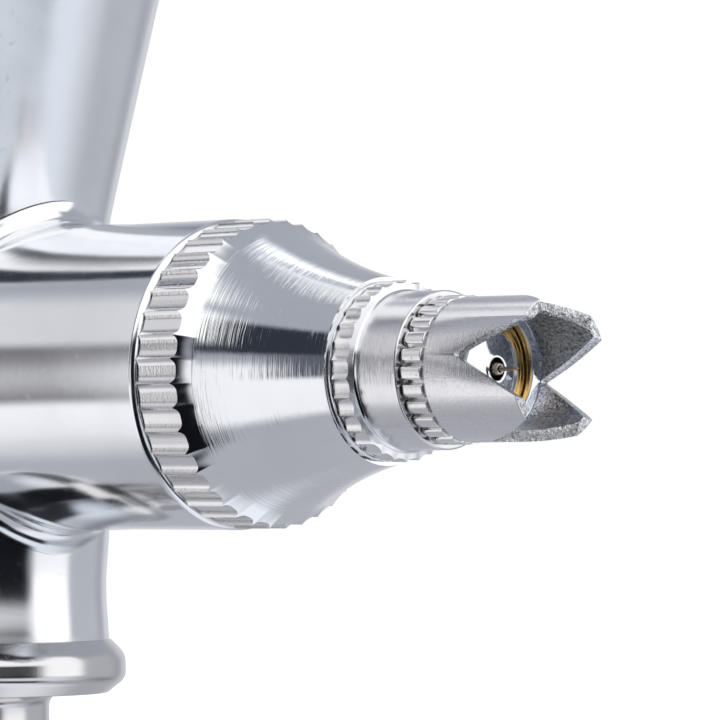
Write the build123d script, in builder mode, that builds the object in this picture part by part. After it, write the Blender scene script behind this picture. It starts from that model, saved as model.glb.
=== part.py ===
from build123d import *
import math
import os

# A gravity-feed airbrush gun with a finger trigger, all sizes in millimetres.
# +X points along the needle towards the nose, +Z points up, and the origin is
# the centre of the air inlet stud where its full thread begins.

# ---------------------------------------------------------------- the frame
NEEDLE_HEIGHT = 23.0
NEEDLE_PLANE = Plane(origin=(0, 0, NEEDLE_HEIGHT), x_dir=(1, 0, 0), z_dir=(0, -1, 0))
NEEDLE_AXIS = Axis((0, 0, NEEDLE_HEIGHT), (1, 0, 0))
CLEAR = 0.05

# --------------------------------------------------------------- the barrel
BARREL_R = 6.25
BARREL_FRONT = 16.8
BARREL_REAR = -42.0
BARREL_BORE_R = 4.5
TAIL_THREAD_R = 5.4
TAIL_THREAD_LENGTH = 6.0
TAIL_END = BARREL_REAR - TAIL_THREAD_LENGTH
PAINT_R = 2.0
PAINT_REAR = -2.6
HEAD_SOCKET_R = 4.2
HEAD_SOCKET_DEPTH = 5.6
AIR_HOLE_R = 0.55
AIR_HOLE_DROP = 5.1
AIR_RISER_X = 5.72

# ----------------------------------------------------------------- the boss
BOSS_R = 6.55
BOSS_BORE_R = 4.9
BOSS_BOTTOM = NEEDLE_HEIGHT - 10.95
BOSS_SHOULDER = NEEDLE_HEIGHT - 8.9
BUTTON_ROOM_R = 3.2

# ------------------------------------------------------- the paint cup, lid
CUP_BASE_R = BOSS_R
CUP_SLOPE = 0.2222
CUP_WALL = 0.82
CUP_CONE_HEIGHT = 27.0
CUP_RIM_HEIGHT = 2.5
CUP_FLOOR = 3.6
CUP_FUNNEL = 2.6
DRAIN_R = PAINT_R
LID_OVERHANG = 0.5
LID_THICKNESS = 1.0
LID_SKIRT_DEPTH = 3.0
LID_SKIRT_WALL = 0.7
LID_KNOB_R = 2.2
LID_KNOB_HEIGHT = 2.4
LID_VENT_R = 0.5

# ------------------------------------------------------------ the spray head
HEAD_RING_R = 6.2
HEAD_RING_LENGTH = 1.93
HEAD_TEETH = 40
HEAD_TOOTH_DEPTH = 0.28
CONE_REAR = 19.4
CONE_REAR_R = 5.6
CONE_FRONT = 24.65
CONE_FRONT_R = 3.5
HEAD_SPIGOT_R = 2.5
HEAD_SPIGOT_END = 26.9
HEAD_PASSAGE_R = 1.2
NOZZLE_SOCKET_R = 1.5
NOZZLE_SOCKET_START = 24.2

# --------------------------------------------------- nozzle cap, needle cap
CAP_RING_R = 3.55
CAP_RING_LENGTH = 1.07
CAP_TEETH = 30
CAP_TOOTH_DEPTH = 0.22
CAP_BODY_R = 3.15
CAP_FRONT = 27.63
CAP_THREAD_R = 2.33
CAP_FACE = 29.95
CAP_NOSE_R = 1.55
AIR_JET = 30.3
AIR_JET_R = 0.42
CROWN_RING_R = 2.9
CROWN_RING_END = 29.0
CROWN_LOBES = 24
CROWN_GROOVE_DEPTH = 0.34
CROWN_R = 2.73
CROWN_BORE_R = 2.35
CROWN_TIP = 33.38
CROWN_NOTCH_APEX = 30.5
CROWN_NOTCH_HALF_WIDTH = 1.556
CROWN_NOTCH_TURN = 10.5

# --------------------------------------------------------- nozzle and needle
NOZZLE_TIP = 30.45
NOZZLE_TIP_R = 0.2
NOZZLE_HOLE_R = 0.15
NEEDLE_R = 0.6
NEEDLE_TAPER_START = 22.0
NEEDLE_TIP = 31.3
NEEDLE_TIP_R = 0.045
NEEDLE_TAIL = -98.0

# ------------------------------------------------------------ needle packing
PACKING_LENGTH = 1.4
PACKING_R = 2.2
PACKING_SCREW_R = 2.5
PACKING_SCREW_LENGTH = 2.0
SLIDE_FIT = 0.02

# --------------------------------------------------------------- the trigger
PIVOT_X = -9.0
PIVOT_Z = NEEDLE_HEIGHT + 3.2
PIVOT_R = 1.0
PIVOT_HEAD_R = 1.6
PIVOT_HEAD_Y = 3.9
EYE_R = 1.5
LEVER_WIDTH = 4.4
LEVER_THICKNESS = 2.4
LEVER_SLOT_WIDTH = 1.8
LEVER_SLOT_HEIGHT = 3.4
LOBE_DROP = 6.7
LOBE_R = 1.6
FOOT_REACH = 10.2
FOOT_DROP = 8.4
FOOT_R = 0.9
BLADE_THICKNESS = 2.2
BLADE_WIDTH = 9.0
BLADE_WIDE_FROM = 17.0
POCKET_TOP = 5.1
FOOT_SLOT_TOP = 4.0
FOOT_SLOT_FRONT = 3.0
SWING_SLOT_REAR = -14.6
TRIGGER_SLOT_WIDTH = LEVER_WIDTH + 0.4
TRIGGER_PLANE = Plane(origin=(PIVOT_X, 0, PIVOT_Z), x_dir=(1, 0, 0), z_dir=(0, -1, 0))

# ------------------------------------------- needle guide, spring, lock nut
GUIDE_FRONT = PIVOT_X - LOBE_R - CLEAR
GUIDE_DISC_LENGTH = 2.4
GUIDE_R = 1.9
GUIDE_TAIL = -72.0
GUIDE_BORE_R = NEEDLE_R + SLIDE_FIT
GUIDE_COLLAR_R = 3.1
GUIDE_COLLAR_FRONT = -46.5
GUIDE_COLLAR_LENGTH = 1.0
CHUCK_SLOT_WIDTH = 0.5
CHUCK_LENGTH = 6.0
SPRING_CASE_R = 4.3
SPRING_CASE_BORE_R = 3.5
SPRING_CASE_END = -62.0
SPRING_CASE_WALL = 2.0
SPRING_R = 2.7
SPRING_WIRE_R = 0.3
SPRING_TURNS = 8
NUT_FRONT = -67.0
NUT_REAR = -79.0
NUT_R = 3.6
NUT_TEETH = 36
NUT_TOOTH_DEPTH = 0.2

# ------------------------------------------------------- handle and preset
HANDLE_BORE_R = 4.8
HANDLE_END = -126.0
HANDLE_END_R = 4.4
HANDLE_WAIST = -95.0
HANDLE_TAIL_BORE_R = 2.2
HANDLE_TAIL_WALL = 8.0
WINDOW_FRONT = -63.5
WINDOW_REAR = -92.0
WINDOW_HALF_HEIGHT = 5.0
WINDOW_CORNER_R = 4.0
PRESET_ROD_R = 1.5
PRESET_GAP = 2.4
PRESET_ROD_END = -136.0
KNOB_FRONT = -128.4
KNOB_REAR = -140.0
KNOB_R = 5.0
KNOB_TEETH = 36
KNOB_TOOTH_DEPTH = 0.25

# -------------------------------------------------------------- the air valve
STUD_R = 4.86
STUD_TOP = 8.2
STUD_CHAMFER = 0.5
UNDERCUT_R = 4.0
COLLAR_BOTTOM = 9.8
COLLAR_R = 7.25
COLLAR_ROUND = 0.75
VALVE_THREAD_TOP = NEEDLE_HEIGHT - 9.3
BUTTON_RECESS_R = 2.9
BUTTON_RECESS_FLOOR = 12.9
BUTTON_R = 2.4
BUTTON_THICKNESS = 0.8
BUTTON_GAP = 0.12
STEM_R = 0.9
STEM_SEAL_R = 1.8
STEM_SEAL_BOTTOM = 11.9
STEM_SEAL_TOP = 12.5
VALVE_SEAT = 8.6
VALVE_SEAT_R = 1.8
INLET_R = 3.2
AIR_GROOVE_Z = 12.95
AIR_GROOVE_WIDTH = 0.7
AIR_GROOVE_DEPTH = 0.6
POPPET_R = 2.7
POPPET_BOTTOM = 7.2
POPPET_TOP = 7.97
POPPET_PIN_R = 0.7
POPPET_PIN_END = 4.7
VALVE_SCREW_TOP = 1.8
VALVE_SCREW_HOLE_R = 1.6
VALVE_SPRING_R = 2.1
VALVE_SPRING_WIRE_R = 0.22
VALVE_SPRING_TURNS = 5


def turned(points, mode=Mode.ADD):
    """Spin a closed outline of (x, radius) points about the needle axis."""
    with BuildSketch(NEEDLE_PLANE) as outline:
        with BuildLine():
            Polyline(*points, close=True)
        make_face()
    revolve(outline.sketch.faces(), axis=NEEDLE_AXIS, mode=mode)


def upright(points, mode=Mode.ADD):
    """Spin a closed outline of (radius, z) points about the valve axis."""
    with BuildSketch(Plane.XZ) as outline:
        with BuildLine():
            Polyline(*points, close=True)
        make_face()
    revolve(outline.sketch.faces(), axis=Axis.Z, mode=mode)


def drilled(start, end, radius):
    """Cut a round hole between two points."""
    line = Vector(*end) - Vector(*start)
    with BuildSketch(Plane(origin=start, z_dir=line)) as mouth:
        Circle(radius)
    extrude(mouth.sketch, amount=line.length, mode=Mode.SUBTRACT)


def slotted(rear, front, bottom, top):
    """Cut a slot as wide as the trigger's lever needs."""
    with BuildSketch(Plane.XY.offset(bottom)) as opening:
        with Locations(((front + rear) / 2, 0)):
            Rectangle(front - rear, TRIGGER_SLOT_WIDTH)
    extrude(opening.sketch, amount=top - bottom, mode=Mode.SUBTRACT)


def toothed(count, crest, root, crest_share, root_share):
    """Give the corners of a ring of teeth, from crest and root widths as shares of the pitch."""
    pitch = 2 * math.pi / count
    corners = []
    for tooth in range(count):
        middle = tooth * pitch
        for radius, share in ((crest, -crest_share), (crest, crest_share),
                              (root, 1 - root_share), (root, 1 + root_share)):
            turn = middle + share * pitch / 2
            corners.append((radius * math.cos(turn), radius * math.sin(turn)))
    return corners


def knurled(front, rear, count, crest, depth, crest_share=0.12, root_share=0.12):
    """Cut teeth along the needle axis into what stands between two stations."""
    cross = Plane(origin=(rear, 0, NEEDLE_HEIGHT), x_dir=(0, 1, 0), z_dir=(1, 0, 0))
    with BuildSketch(cross) as gaps:
        Circle(crest + 1)
        with BuildLine():
            Polyline(*toothed(count, crest + 0.01, crest - depth, crest_share, root_share), close=True)
        make_face(mode=Mode.SUBTRACT)
    extrude(gaps.sketch, amount=front - rear, mode=Mode.SUBTRACT)


def cup_radius(height):
    """Give the cup's outer radius at a height above the needle."""
    return CUP_BASE_R + CUP_SLOPE * (height - BARREL_R)


# ------------------------------------------------------------------- barrel
with BuildPart() as barrel:
    turned([(TAIL_END, 0), (TAIL_END, TAIL_THREAD_R), (BARREL_REAR, TAIL_THREAD_R), (BARREL_REAR, BARREL_R),
            (BARREL_FRONT - 0.2, BARREL_R), (BARREL_FRONT, BARREL_R - 0.2), (BARREL_FRONT, 0)])
    upright([(0, BOSS_BOTTOM), (BOSS_R, BOSS_BOTTOM), (BOSS_R, NEEDLE_HEIGHT), (0, NEEDLE_HEIGHT)])
    turned([(TAIL_END, 0), (TAIL_END, BARREL_BORE_R), (PAINT_REAR - PACKING_LENGTH - PACKING_SCREW_LENGTH,
            BARREL_BORE_R), (PAINT_REAR - PACKING_LENGTH - PACKING_SCREW_LENGTH, 0)], mode=Mode.SUBTRACT)
    turned([(-7, 0), (-7, PACKING_SCREW_R), (PAINT_REAR - PACKING_LENGTH, PACKING_SCREW_R),
            (PAINT_REAR - PACKING_LENGTH, PACKING_R), (PAINT_REAR, PACKING_R), (PAINT_REAR, PAINT_R),
            (BARREL_FRONT, PAINT_R), (BARREL_FRONT, 0)], mode=Mode.SUBTRACT)
    turned([(BARREL_FRONT - HEAD_SOCKET_DEPTH, 0), (BARREL_FRONT - HEAD_SOCKET_DEPTH, HEAD_SOCKET_R),
            (BARREL_FRONT, HEAD_SOCKET_R), (BARREL_FRONT, 0)], mode=Mode.SUBTRACT)
    drilled((0, 0, NEEDLE_HEIGHT), (0, 0, NEEDLE_HEIGHT + BARREL_R + 1), DRAIN_R)
    upright([(0, BOSS_BOTTOM), (BOSS_BORE_R, BOSS_BOTTOM), (BOSS_BORE_R, BOSS_SHOULDER),
             (BUTTON_ROOM_R, BOSS_SHOULDER), (BUTTON_ROOM_R, NEEDLE_HEIGHT - 5.7), (0, NEEDLE_HEIGHT - 5.7)],
            mode=Mode.SUBTRACT)
    # Room for the trigger: a pocket for its lever, and slots below for its foot and its swing.
    slotted(PIVOT_X - EYE_R - 0.5, PIVOT_X + EYE_R + 0.5, NEEDLE_HEIGHT - BARREL_R - 1, NEEDLE_HEIGHT + POCKET_TOP)
    slotted(PIVOT_X, FOOT_SLOT_FRONT, BOSS_SHOULDER, NEEDLE_HEIGHT - FOOT_SLOT_TOP)
    slotted(SWING_SLOT_REAR, PIVOT_X, NEEDLE_HEIGHT - BARREL_R - 1, NEEDLE_HEIGHT)
    # Cross holes for the trigger's pivot screw, with a seat for its head.
    drilled((PIVOT_X, -BARREL_R, PIVOT_Z), (PIVOT_X, BARREL_R, PIVOT_Z), PIVOT_R)
    drilled((PIVOT_X, -BARREL_R, PIVOT_Z), (PIVOT_X, -PIVOT_HEAD_Y, PIVOT_Z), PIVOT_HEAD_R + 0.1)
    # The air's way from the valve to the head: a riser in the boss and a hole along the barrel.
    drilled((4.4, 0, AIR_GROOVE_Z), (AIR_RISER_X, 0, AIR_GROOVE_Z), AIR_HOLE_R - 0.1)
    drilled((AIR_RISER_X, 0, AIR_GROOVE_Z - 0.3), (AIR_RISER_X, 0, NEEDLE_HEIGHT - AIR_HOLE_DROP + 0.3),
            AIR_HOLE_R - 0.1)
    drilled((AIR_RISER_X - 0.3, 0, NEEDLE_HEIGHT - AIR_HOLE_DROP),
            (BARREL_FRONT, 0, NEEDLE_HEIGHT - AIR_HOLE_DROP), AIR_HOLE_R)
barrel.part.label = "barrel"

# ---------------------------------------------------------------- paint cup
cup_cone_top = BARREL_R + CUP_CONE_HEIGHT
cup_rim_top = cup_cone_top + CUP_RIM_HEIGHT
cup_rim_r = cup_radius(cup_cone_top)
with BuildPart() as cup:
    upright([(0, NEEDLE_HEIGHT), (CUP_BASE_R, NEEDLE_HEIGHT), (CUP_BASE_R, NEEDLE_HEIGHT + BARREL_R),
             (cup_rim_r, NEEDLE_HEIGHT + cup_cone_top), (cup_rim_r, NEEDLE_HEIGHT + cup_rim_top),
             (0, NEEDLE_HEIGHT + cup_rim_top)])
    floor_top = BARREL_R + CUP_FLOOR + CUP_FUNNEL
    upright([(0, NEEDLE_HEIGHT), (DRAIN_R, NEEDLE_HEIGHT), (DRAIN_R, NEEDLE_HEIGHT + BARREL_R + CUP_FLOOR - 1.6),
             (cup_radius(floor_top) - CUP_WALL, NEEDLE_HEIGHT + floor_top),
             (cup_rim_r - CUP_WALL, NEEDLE_HEIGHT + cup_cone_top),
             (cup_rim_r - CUP_WALL, NEEDLE_HEIGHT + cup_rim_top), (0, NEEDLE_HEIGHT + cup_rim_top)],
            mode=Mode.SUBTRACT)
    turned([(-20, 0), (-20, BARREL_R), (20, BARREL_R), (20, 0)], mode=Mode.SUBTRACT)
cup.part.label = "cup"

# ------------------------------------------------------------------ cup lid
lid_bottom = NEEDLE_HEIGHT + cup_rim_top
skirt_r = cup_rim_r - CUP_WALL - 0.3
with BuildPart() as cup_lid:
    upright([(LID_VENT_R, lid_bottom), (skirt_r - LID_SKIRT_WALL, lid_bottom),
             (skirt_r - LID_SKIRT_WALL, lid_bottom - LID_SKIRT_DEPTH), (skirt_r, lid_bottom - LID_SKIRT_DEPTH),
             (skirt_r, lid_bottom), (cup_rim_r + LID_OVERHANG, lid_bottom),
             (cup_rim_r + LID_OVERHANG, lid_bottom + LID_THICKNESS), (LID_KNOB_R, lid_bottom + LID_THICKNESS),
             (LID_KNOB_R, lid_bottom + LID_THICKNESS + LID_KNOB_HEIGHT),
             (LID_VENT_R, lid_bottom + LID_THICKNESS + LID_KNOB_HEIGHT)])
cup_lid.part.label = "cup_lid"

# --------------------------------------------------------------------- head
ring_front = BARREL_FRONT + HEAD_RING_LENGTH
socket_floor = BARREL_FRONT - HEAD_SOCKET_DEPTH
SEAL_LENGTH = 0.6
with BuildPart() as head:
    turned([(socket_floor + SEAL_LENGTH, HEAD_PASSAGE_R), (socket_floor + SEAL_LENGTH, HEAD_SOCKET_R - SLIDE_FIT),
            (BARREL_FRONT, HEAD_SOCKET_R - SLIDE_FIT), (BARREL_FRONT, HEAD_RING_R - 0.2),
            (BARREL_FRONT + 0.2, HEAD_RING_R), (ring_front, HEAD_RING_R), (CONE_REAR, CONE_REAR_R),
            (CONE_FRONT, CONE_FRONT_R), (CONE_FRONT, HEAD_SPIGOT_R), (HEAD_SPIGOT_END, HEAD_SPIGOT_R),
            (HEAD_SPIGOT_END, NOZZLE_SOCKET_R), (NOZZLE_SOCKET_START, NOZZLE_SOCKET_R),
            (NOZZLE_SOCKET_START, HEAD_PASSAGE_R)])
    knurled(ring_front + 0.6, BARREL_FRONT, HEAD_TEETH, HEAD_RING_R, HEAD_TOOTH_DEPTH)
    # An air groove in the rear face, and slanting holes from it to the front of the spigot.
    turned([(BARREL_FRONT, 4.5), (BARREL_FRONT + 0.8, 4.5), (BARREL_FRONT + 0.8, 5.5), (BARREL_FRONT, 5.5)],
           mode=Mode.SUBTRACT)
    for turn in range(0, 360, 90):
        across = Vector(0, math.sin(math.radians(turn)), -math.cos(math.radians(turn)))
        start = Vector(BARREL_FRONT, 0, NEEDLE_HEIGHT) + across * 4.9
        end = Vector(HEAD_SPIGOT_END + 0.5, 0, NEEDLE_HEIGHT) + across * 1.95
        drilled(tuple(start), tuple(end), 0.3)
head.part.label = "head"

with BuildPart() as head_seal:
    turned([(socket_floor, HEAD_PASSAGE_R + 0.1), (socket_floor, HEAD_SOCKET_R - SLIDE_FIT),
            (socket_floor + SEAL_LENGTH, HEAD_SOCKET_R - SLIDE_FIT), (socket_floor + SEAL_LENGTH, HEAD_PASSAGE_R + 0.1)])
head_seal.part.label = "head_seal"

# ------------------------------------------------------------------- nozzle
with BuildPart() as nozzle:
    turned([(NOZZLE_SOCKET_START, 0.75), (NOZZLE_SOCKET_START, NOZZLE_SOCKET_R - SLIDE_FIT),
            (HEAD_SPIGOT_END, NOZZLE_SOCKET_R - SLIDE_FIT), (HEAD_SPIGOT_END, 1.6), (HEAD_SPIGOT_END + 0.5, 1.6),
            (HEAD_SPIGOT_END + 0.5, 1.2), (NOZZLE_TIP, NOZZLE_TIP_R), (NOZZLE_TIP, NOZZLE_HOLE_R),
            (NOZZLE_TIP - 0.3, NOZZLE_HOLE_R), (HEAD_SPIGOT_END + 0.4, 0.75)])
nozzle.part.label = "nozzle"

# --------------------------------------------------------------- nozzle cap
cap_ring_front = CONE_FRONT + CAP_RING_LENGTH
with BuildPart() as nozzle_cap:
    turned([(CONE_FRONT, HEAD_SPIGOT_R + SLIDE_FIT), (CONE_FRONT, CAP_RING_R - 0.1), (CONE_FRONT + 0.1, CAP_RING_R),
            (cap_ring_front - 0.3, CAP_RING_R), (cap_ring_front, CAP_BODY_R), (CAP_FRONT, CAP_BODY_R),
            (CAP_FRONT, CAP_THREAD_R), (CAP_FACE, CAP_THREAD_R), (CAP_FACE, CAP_NOSE_R),
            (AIR_JET, AIR_JET_R + 0.2), (AIR_JET, AIR_JET_R), (AIR_JET - 0.4, AIR_JET_R), (28.4, 2.0),
            (HEAD_SPIGOT_END + 0.1, 2.0), (HEAD_SPIGOT_END + 0.1, HEAD_SPIGOT_R + SLIDE_FIT)])
    knurled(cap_ring_front, CONE_FRONT, CAP_TEETH, CAP_RING_R, CAP_TOOTH_DEPTH)
nozzle_cap.part.label = "nozzle_cap"

# --------------------------------------------------------------- needle cap
with BuildPart() as needle_cap:
    turned([(CAP_FRONT, CROWN_BORE_R), (CAP_FRONT, CROWN_RING_R - 0.1), (CAP_FRONT + 0.1, CROWN_RING_R),
            (CROWN_RING_END, CROWN_RING_R), (CROWN_RING_END + 0.17, CROWN_R), (CROWN_TIP, CROWN_R),
            (CROWN_TIP, CROWN_BORE_R)])
    knurled(CROWN_RING_END, CAP_FRONT, CROWN_LOBES, CROWN_RING_R, CROWN_GROOVE_DEPTH, 0.62, 0.16)
    notch_run = CROWN_TIP + 0.5 - CROWN_NOTCH_APEX
    notch_half = CROWN_NOTCH_HALF_WIDTH * notch_run / (CROWN_TIP - CROWN_NOTCH_APEX)
    for turn in (CROWN_NOTCH_TURN, CROWN_NOTCH_TURN + 90):
        facing = (0, -math.cos(math.radians(turn)), math.sin(math.radians(turn)))
        with BuildSketch(Plane(origin=(0, 0, NEEDLE_HEIGHT), x_dir=(1, 0, 0), z_dir=facing)):
            with BuildLine():
                Polyline((CROWN_NOTCH_APEX, 0), (CROWN_TIP + 0.5, notch_half), (CROWN_TIP + 0.5, -notch_half),
                         close=True)
            make_face()
        extrude(amount=CROWN_R + 1, both=True, mode=Mode.SUBTRACT)
needle_cap.part.label = "needle_cap"

# ------------------------------------------------------------------- needle
with BuildPart() as needle:
    turned([(NEEDLE_TAIL, 0), (NEEDLE_TAIL, NEEDLE_R - 0.15), (NEEDLE_TAIL + 0.3, NEEDLE_R),
            (NEEDLE_TAPER_START, NEEDLE_R), (NEEDLE_TIP, NEEDLE_TIP_R), (NEEDLE_TIP + 0.06, 0)])
needle.part.label = "needle"

with BuildPart() as needle_packing:
    turned([(PAINT_REAR - PACKING_LENGTH, NEEDLE_R + SLIDE_FIT), (PAINT_REAR - PACKING_LENGTH, PACKING_R - SLIDE_FIT),
            (PAINT_REAR, PACKING_R - SLIDE_FIT), (PAINT_REAR, NEEDLE_R + SLIDE_FIT)])
needle_packing.part.label = "needle_packing"

screw_front = PAINT_REAR - PACKING_LENGTH
screw_rear = screw_front - PACKING_SCREW_LENGTH
with BuildPart() as packing_screw:
    turned([(screw_rear, NEEDLE_R + 0.2), (screw_rear, PACKING_SCREW_R - SLIDE_FIT),
            (screw_front, PACKING_SCREW_R - SLIDE_FIT), (screw_front, NEEDLE_R + 0.2)])
    with BuildSketch(Plane.XY.offset(NEEDLE_HEIGHT - 4)):
        with Locations((screw_rear, 0)):
            Rectangle(1.4, 0.7)
    extrude(amount=8, mode=Mode.SUBTRACT)
packing_screw.part.label = "packing_screw"

# ------------------------------------------------------------------ trigger
blade_line = [(0.3, -9.0), (-0.9, -12.2), (-6.0, -17.5), (-11.8, -23), (-14.4, -30.5), (-13.6, -38), (-10.8, -44)]
with BuildPart() as trigger:
    with BuildSketch(TRIGGER_PLANE):
        Circle(EYE_R)
        with Locations((0, -LOBE_DROP)):
            Circle(LOBE_R)
        with Locations((0, -LOBE_DROP / 2)):
            Rectangle(LEVER_THICKNESS, LOBE_DROP)
        with Locations((FOOT_REACH / 2, -FOOT_DROP)):
            Rectangle(FOOT_REACH, 2 * FOOT_R)
        with Locations((FOOT_REACH, -FOOT_DROP)):
            Circle(FOOT_R)
        with Locations((0, -FOOT_DROP)):
            Circle(LEVER_THICKNESS / 2)
        Circle(PIVOT_R + CLEAR, mode=Mode.SUBTRACT)
    extrude(amount=LEVER_WIDTH / 2, both=True)
    with BuildSketch(TRIGGER_PLANE):
        with BuildLine():
            Spline(*blade_line)
        trace(line_width=BLADE_THICKNESS)
        with Locations(blade_line[-1]):
            Circle(BLADE_THICKNESS / 2)
    extrude(amount=LEVER_WIDTH / 2, both=True)
    with BuildSketch(TRIGGER_PLANE):
        with BuildLine():
            Spline(*blade_line)
        trace(line_width=BLADE_THICKNESS)
        with Locations(blade_line[-1]):
            Circle(BLADE_THICKNESS / 2)
        with Locations((0, 0)):
            Rectangle(60, 2 * BLADE_WIDE_FROM, mode=Mode.SUBTRACT)
    extrude(amount=BLADE_WIDTH / 2, both=True)
    # The window that the needle passes through.
    with BuildSketch(Plane.XY.offset(NEEDLE_HEIGHT - LEVER_SLOT_HEIGHT / 2)):
        with Locations((PIVOT_X, 0)):
            Rectangle(6, LEVER_SLOT_WIDTH)
    extrude(amount=LEVER_SLOT_HEIGHT, mode=Mode.SUBTRACT)
trigger.part.label = "trigger"

with BuildPart() as trigger_screw:
    with BuildSketch(Plane(origin=(PIVOT_X, -PIVOT_HEAD_Y, PIVOT_Z), z_dir=(0, 1, 0))):
        Circle(PIVOT_R - 0.01)
    extrude(amount=PIVOT_HEAD_Y + 4.9)
    with BuildSketch(Plane(origin=(PIVOT_X, -PIVOT_HEAD_Y, PIVOT_Z), z_dir=(0, -1, 0))):
        Circle(PIVOT_HEAD_R)
    extrude(amount=0.9)
    with BuildSketch(Plane(origin=(PIVOT_X, -PIVOT_HEAD_Y - 0.9, PIVOT_Z), z_dir=(0, 1, 0))):
        Rectangle(0.5, 4)
    extrude(amount=0.5, mode=Mode.SUBTRACT)
trigger_screw.part.label = "trigger_screw"

# ------------------------------------------------------------- needle guide
disc_rear = GUIDE_FRONT - GUIDE_DISC_LENGTH
collar_rear = GUIDE_COLLAR_FRONT - GUIDE_COLLAR_LENGTH
with BuildPart() as needle_guide:
    turned([(GUIDE_FRONT, GUIDE_BORE_R), (GUIDE_FRONT, BARREL_BORE_R - CLEAR), (disc_rear, BARREL_BORE_R - CLEAR),
            (disc_rear, GUIDE_R), (GUIDE_COLLAR_FRONT, GUIDE_R), (GUIDE_COLLAR_FRONT, GUIDE_COLLAR_R),
            (collar_rear, GUIDE_COLLAR_R), (collar_rear, GUIDE_R), (GUIDE_TAIL + 1.0, GUIDE_R),
            (GUIDE_TAIL, GUIDE_R - 0.5), (GUIDE_TAIL, GUIDE_BORE_R)])
    for facing in (Plane.XY, Plane.XZ):
        with BuildSketch(Plane(origin=(GUIDE_TAIL, 0, NEEDLE_HEIGHT), x_dir=(1, 0, 0), z_dir=facing.z_dir)):
            Rectangle(2 * CHUCK_LENGTH, CHUCK_SLOT_WIDTH)
        extrude(amount=GUIDE_R + 1, both=True, mode=Mode.SUBTRACT)
needle_guide.part.label = "needle_guide"

# ------------------------------------------------- needle spring, its case
with BuildPart() as spring_case:
    turned([(BARREL_REAR, SPRING_CASE_BORE_R), (BARREL_REAR, BARREL_BORE_R - SLIDE_FIT),
            (TAIL_END, BARREL_BORE_R - SLIDE_FIT), (TAIL_END, SPRING_CASE_R), (SPRING_CASE_END + 0.4, SPRING_CASE_R),
            (SPRING_CASE_END, SPRING_CASE_R - 0.4), (SPRING_CASE_END, GUIDE_R + CLEAR),
            (SPRING_CASE_END + SPRING_CASE_WALL, GUIDE_R + CLEAR),
            (SPRING_CASE_END + SPRING_CASE_WALL, SPRING_CASE_BORE_R)])
spring_case.part.label = "spring_case"

spring_front = collar_rear - SPRING_WIRE_R - CLEAR
spring_rear = SPRING_CASE_END + SPRING_CASE_WALL + SPRING_WIRE_R + CLEAR
with BuildPart() as needle_spring:
    with BuildLine() as coil:
        Helix(pitch=(spring_front - spring_rear) / SPRING_TURNS, height=spring_front - spring_rear,
              radius=SPRING_R, center=(spring_front, 0, NEEDLE_HEIGHT), direction=(-1, 0, 0))
    with BuildSketch(Plane(origin=coil.line @ 0, z_dir=coil.line % 0)):
        Circle(SPRING_WIRE_R)
    sweep(is_frenet=True)
needle_spring.part.label = "needle_spring"

# --------------------------------------------------------------- needle nut
with BuildPart() as needle_nut:
    turned([(NUT_FRONT, GUIDE_R + SLIDE_FIT), (NUT_FRONT, NUT_R - 0.4), (NUT_FRONT - 0.4, NUT_R),
            (NUT_REAR + 1.2, NUT_R), (NUT_REAR, NUT_R - 1.4), (NUT_REAR, NEEDLE_R + SLIDE_FIT),
            (GUIDE_TAIL - 1.2, NEEDLE_R + SLIDE_FIT), (GUIDE_TAIL - 0.05, GUIDE_R - 0.4),
            (GUIDE_TAIL + 1.0, GUIDE_R + SLIDE_FIT)])
    knurled(NUT_FRONT - 1.0, NUT_REAR + 1.6, NUT_TEETH, NUT_R, NUT_TOOTH_DEPTH)
needle_nut.part.label = "needle_nut"

# ------------------------------------------------------------------- handle
handle_front = BARREL_REAR - 0.05
with BuildPart() as handle:
    turned([(handle_front, TAIL_THREAD_R + SLIDE_FIT), (handle_front, BARREL_R - 0.15), (handle_front - 0.15, BARREL_R),
            (HANDLE_WAIST, BARREL_R), (HANDLE_END + 0.5, HANDLE_END_R), (HANDLE_END, HANDLE_END_R - 0.5),
            (HANDLE_END, PRESET_ROD_R + CLEAR), (HANDLE_END + HANDLE_TAIL_WALL, PRESET_ROD_R + CLEAR),
            (HANDLE_END + HANDLE_TAIL_WALL, HANDLE_TAIL_BORE_R), (HANDLE_WAIST - 1, HANDLE_TAIL_BORE_R),
            (WINDOW_REAR - 1, HANDLE_BORE_R), (TAIL_END - 0.2, HANDLE_BORE_R),
            (TAIL_END - 0.2, TAIL_THREAD_R + SLIDE_FIT)])
    with BuildSketch(NEEDLE_PLANE):
        with Locations(((WINDOW_FRONT + WINDOW_REAR) / 2, 0)):
            RectangleRounded(WINDOW_FRONT - WINDOW_REAR, 2 * WINDOW_HALF_HEIGHT, WINDOW_CORNER_R)
    extrude(amount=BARREL_R + 1, both=True, mode=Mode.SUBTRACT)
handle.part.label = "handle"

# ---------------------------------------------------------- preset and knob
with BuildPart() as preset_rod:
    rod_front = NEEDLE_TAIL - PRESET_GAP
    turned([(rod_front, 0), (rod_front, PRESET_ROD_R - 0.3), (rod_front - 0.3, PRESET_ROD_R),
            (PRESET_ROD_END, PRESET_ROD_R), (PRESET_ROD_END, 0)])
preset_rod.part.label = "preset_rod"

with BuildPart() as preset_knob:
    turned([(KNOB_FRONT, PRESET_ROD_R + CLEAR), (KNOB_FRONT, KNOB_R - 1.2), (KNOB_FRONT - 1.2, KNOB_R - 1.2),
            (KNOB_FRONT - 1.6, KNOB_R), (KNOB_REAR + 1.0, KNOB_R), (KNOB_REAR, KNOB_R - 1.0), (KNOB_REAR, 0),
            (PRESET_ROD_END - CLEAR, 0), (PRESET_ROD_END - CLEAR, PRESET_ROD_R + CLEAR)])
    knurled(KNOB_FRONT - 2.2, KNOB_REAR + 1.4, KNOB_TEETH, KNOB_R, KNOB_TOOTH_DEPTH)
preset_knob.part.label = "preset_knob"

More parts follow.
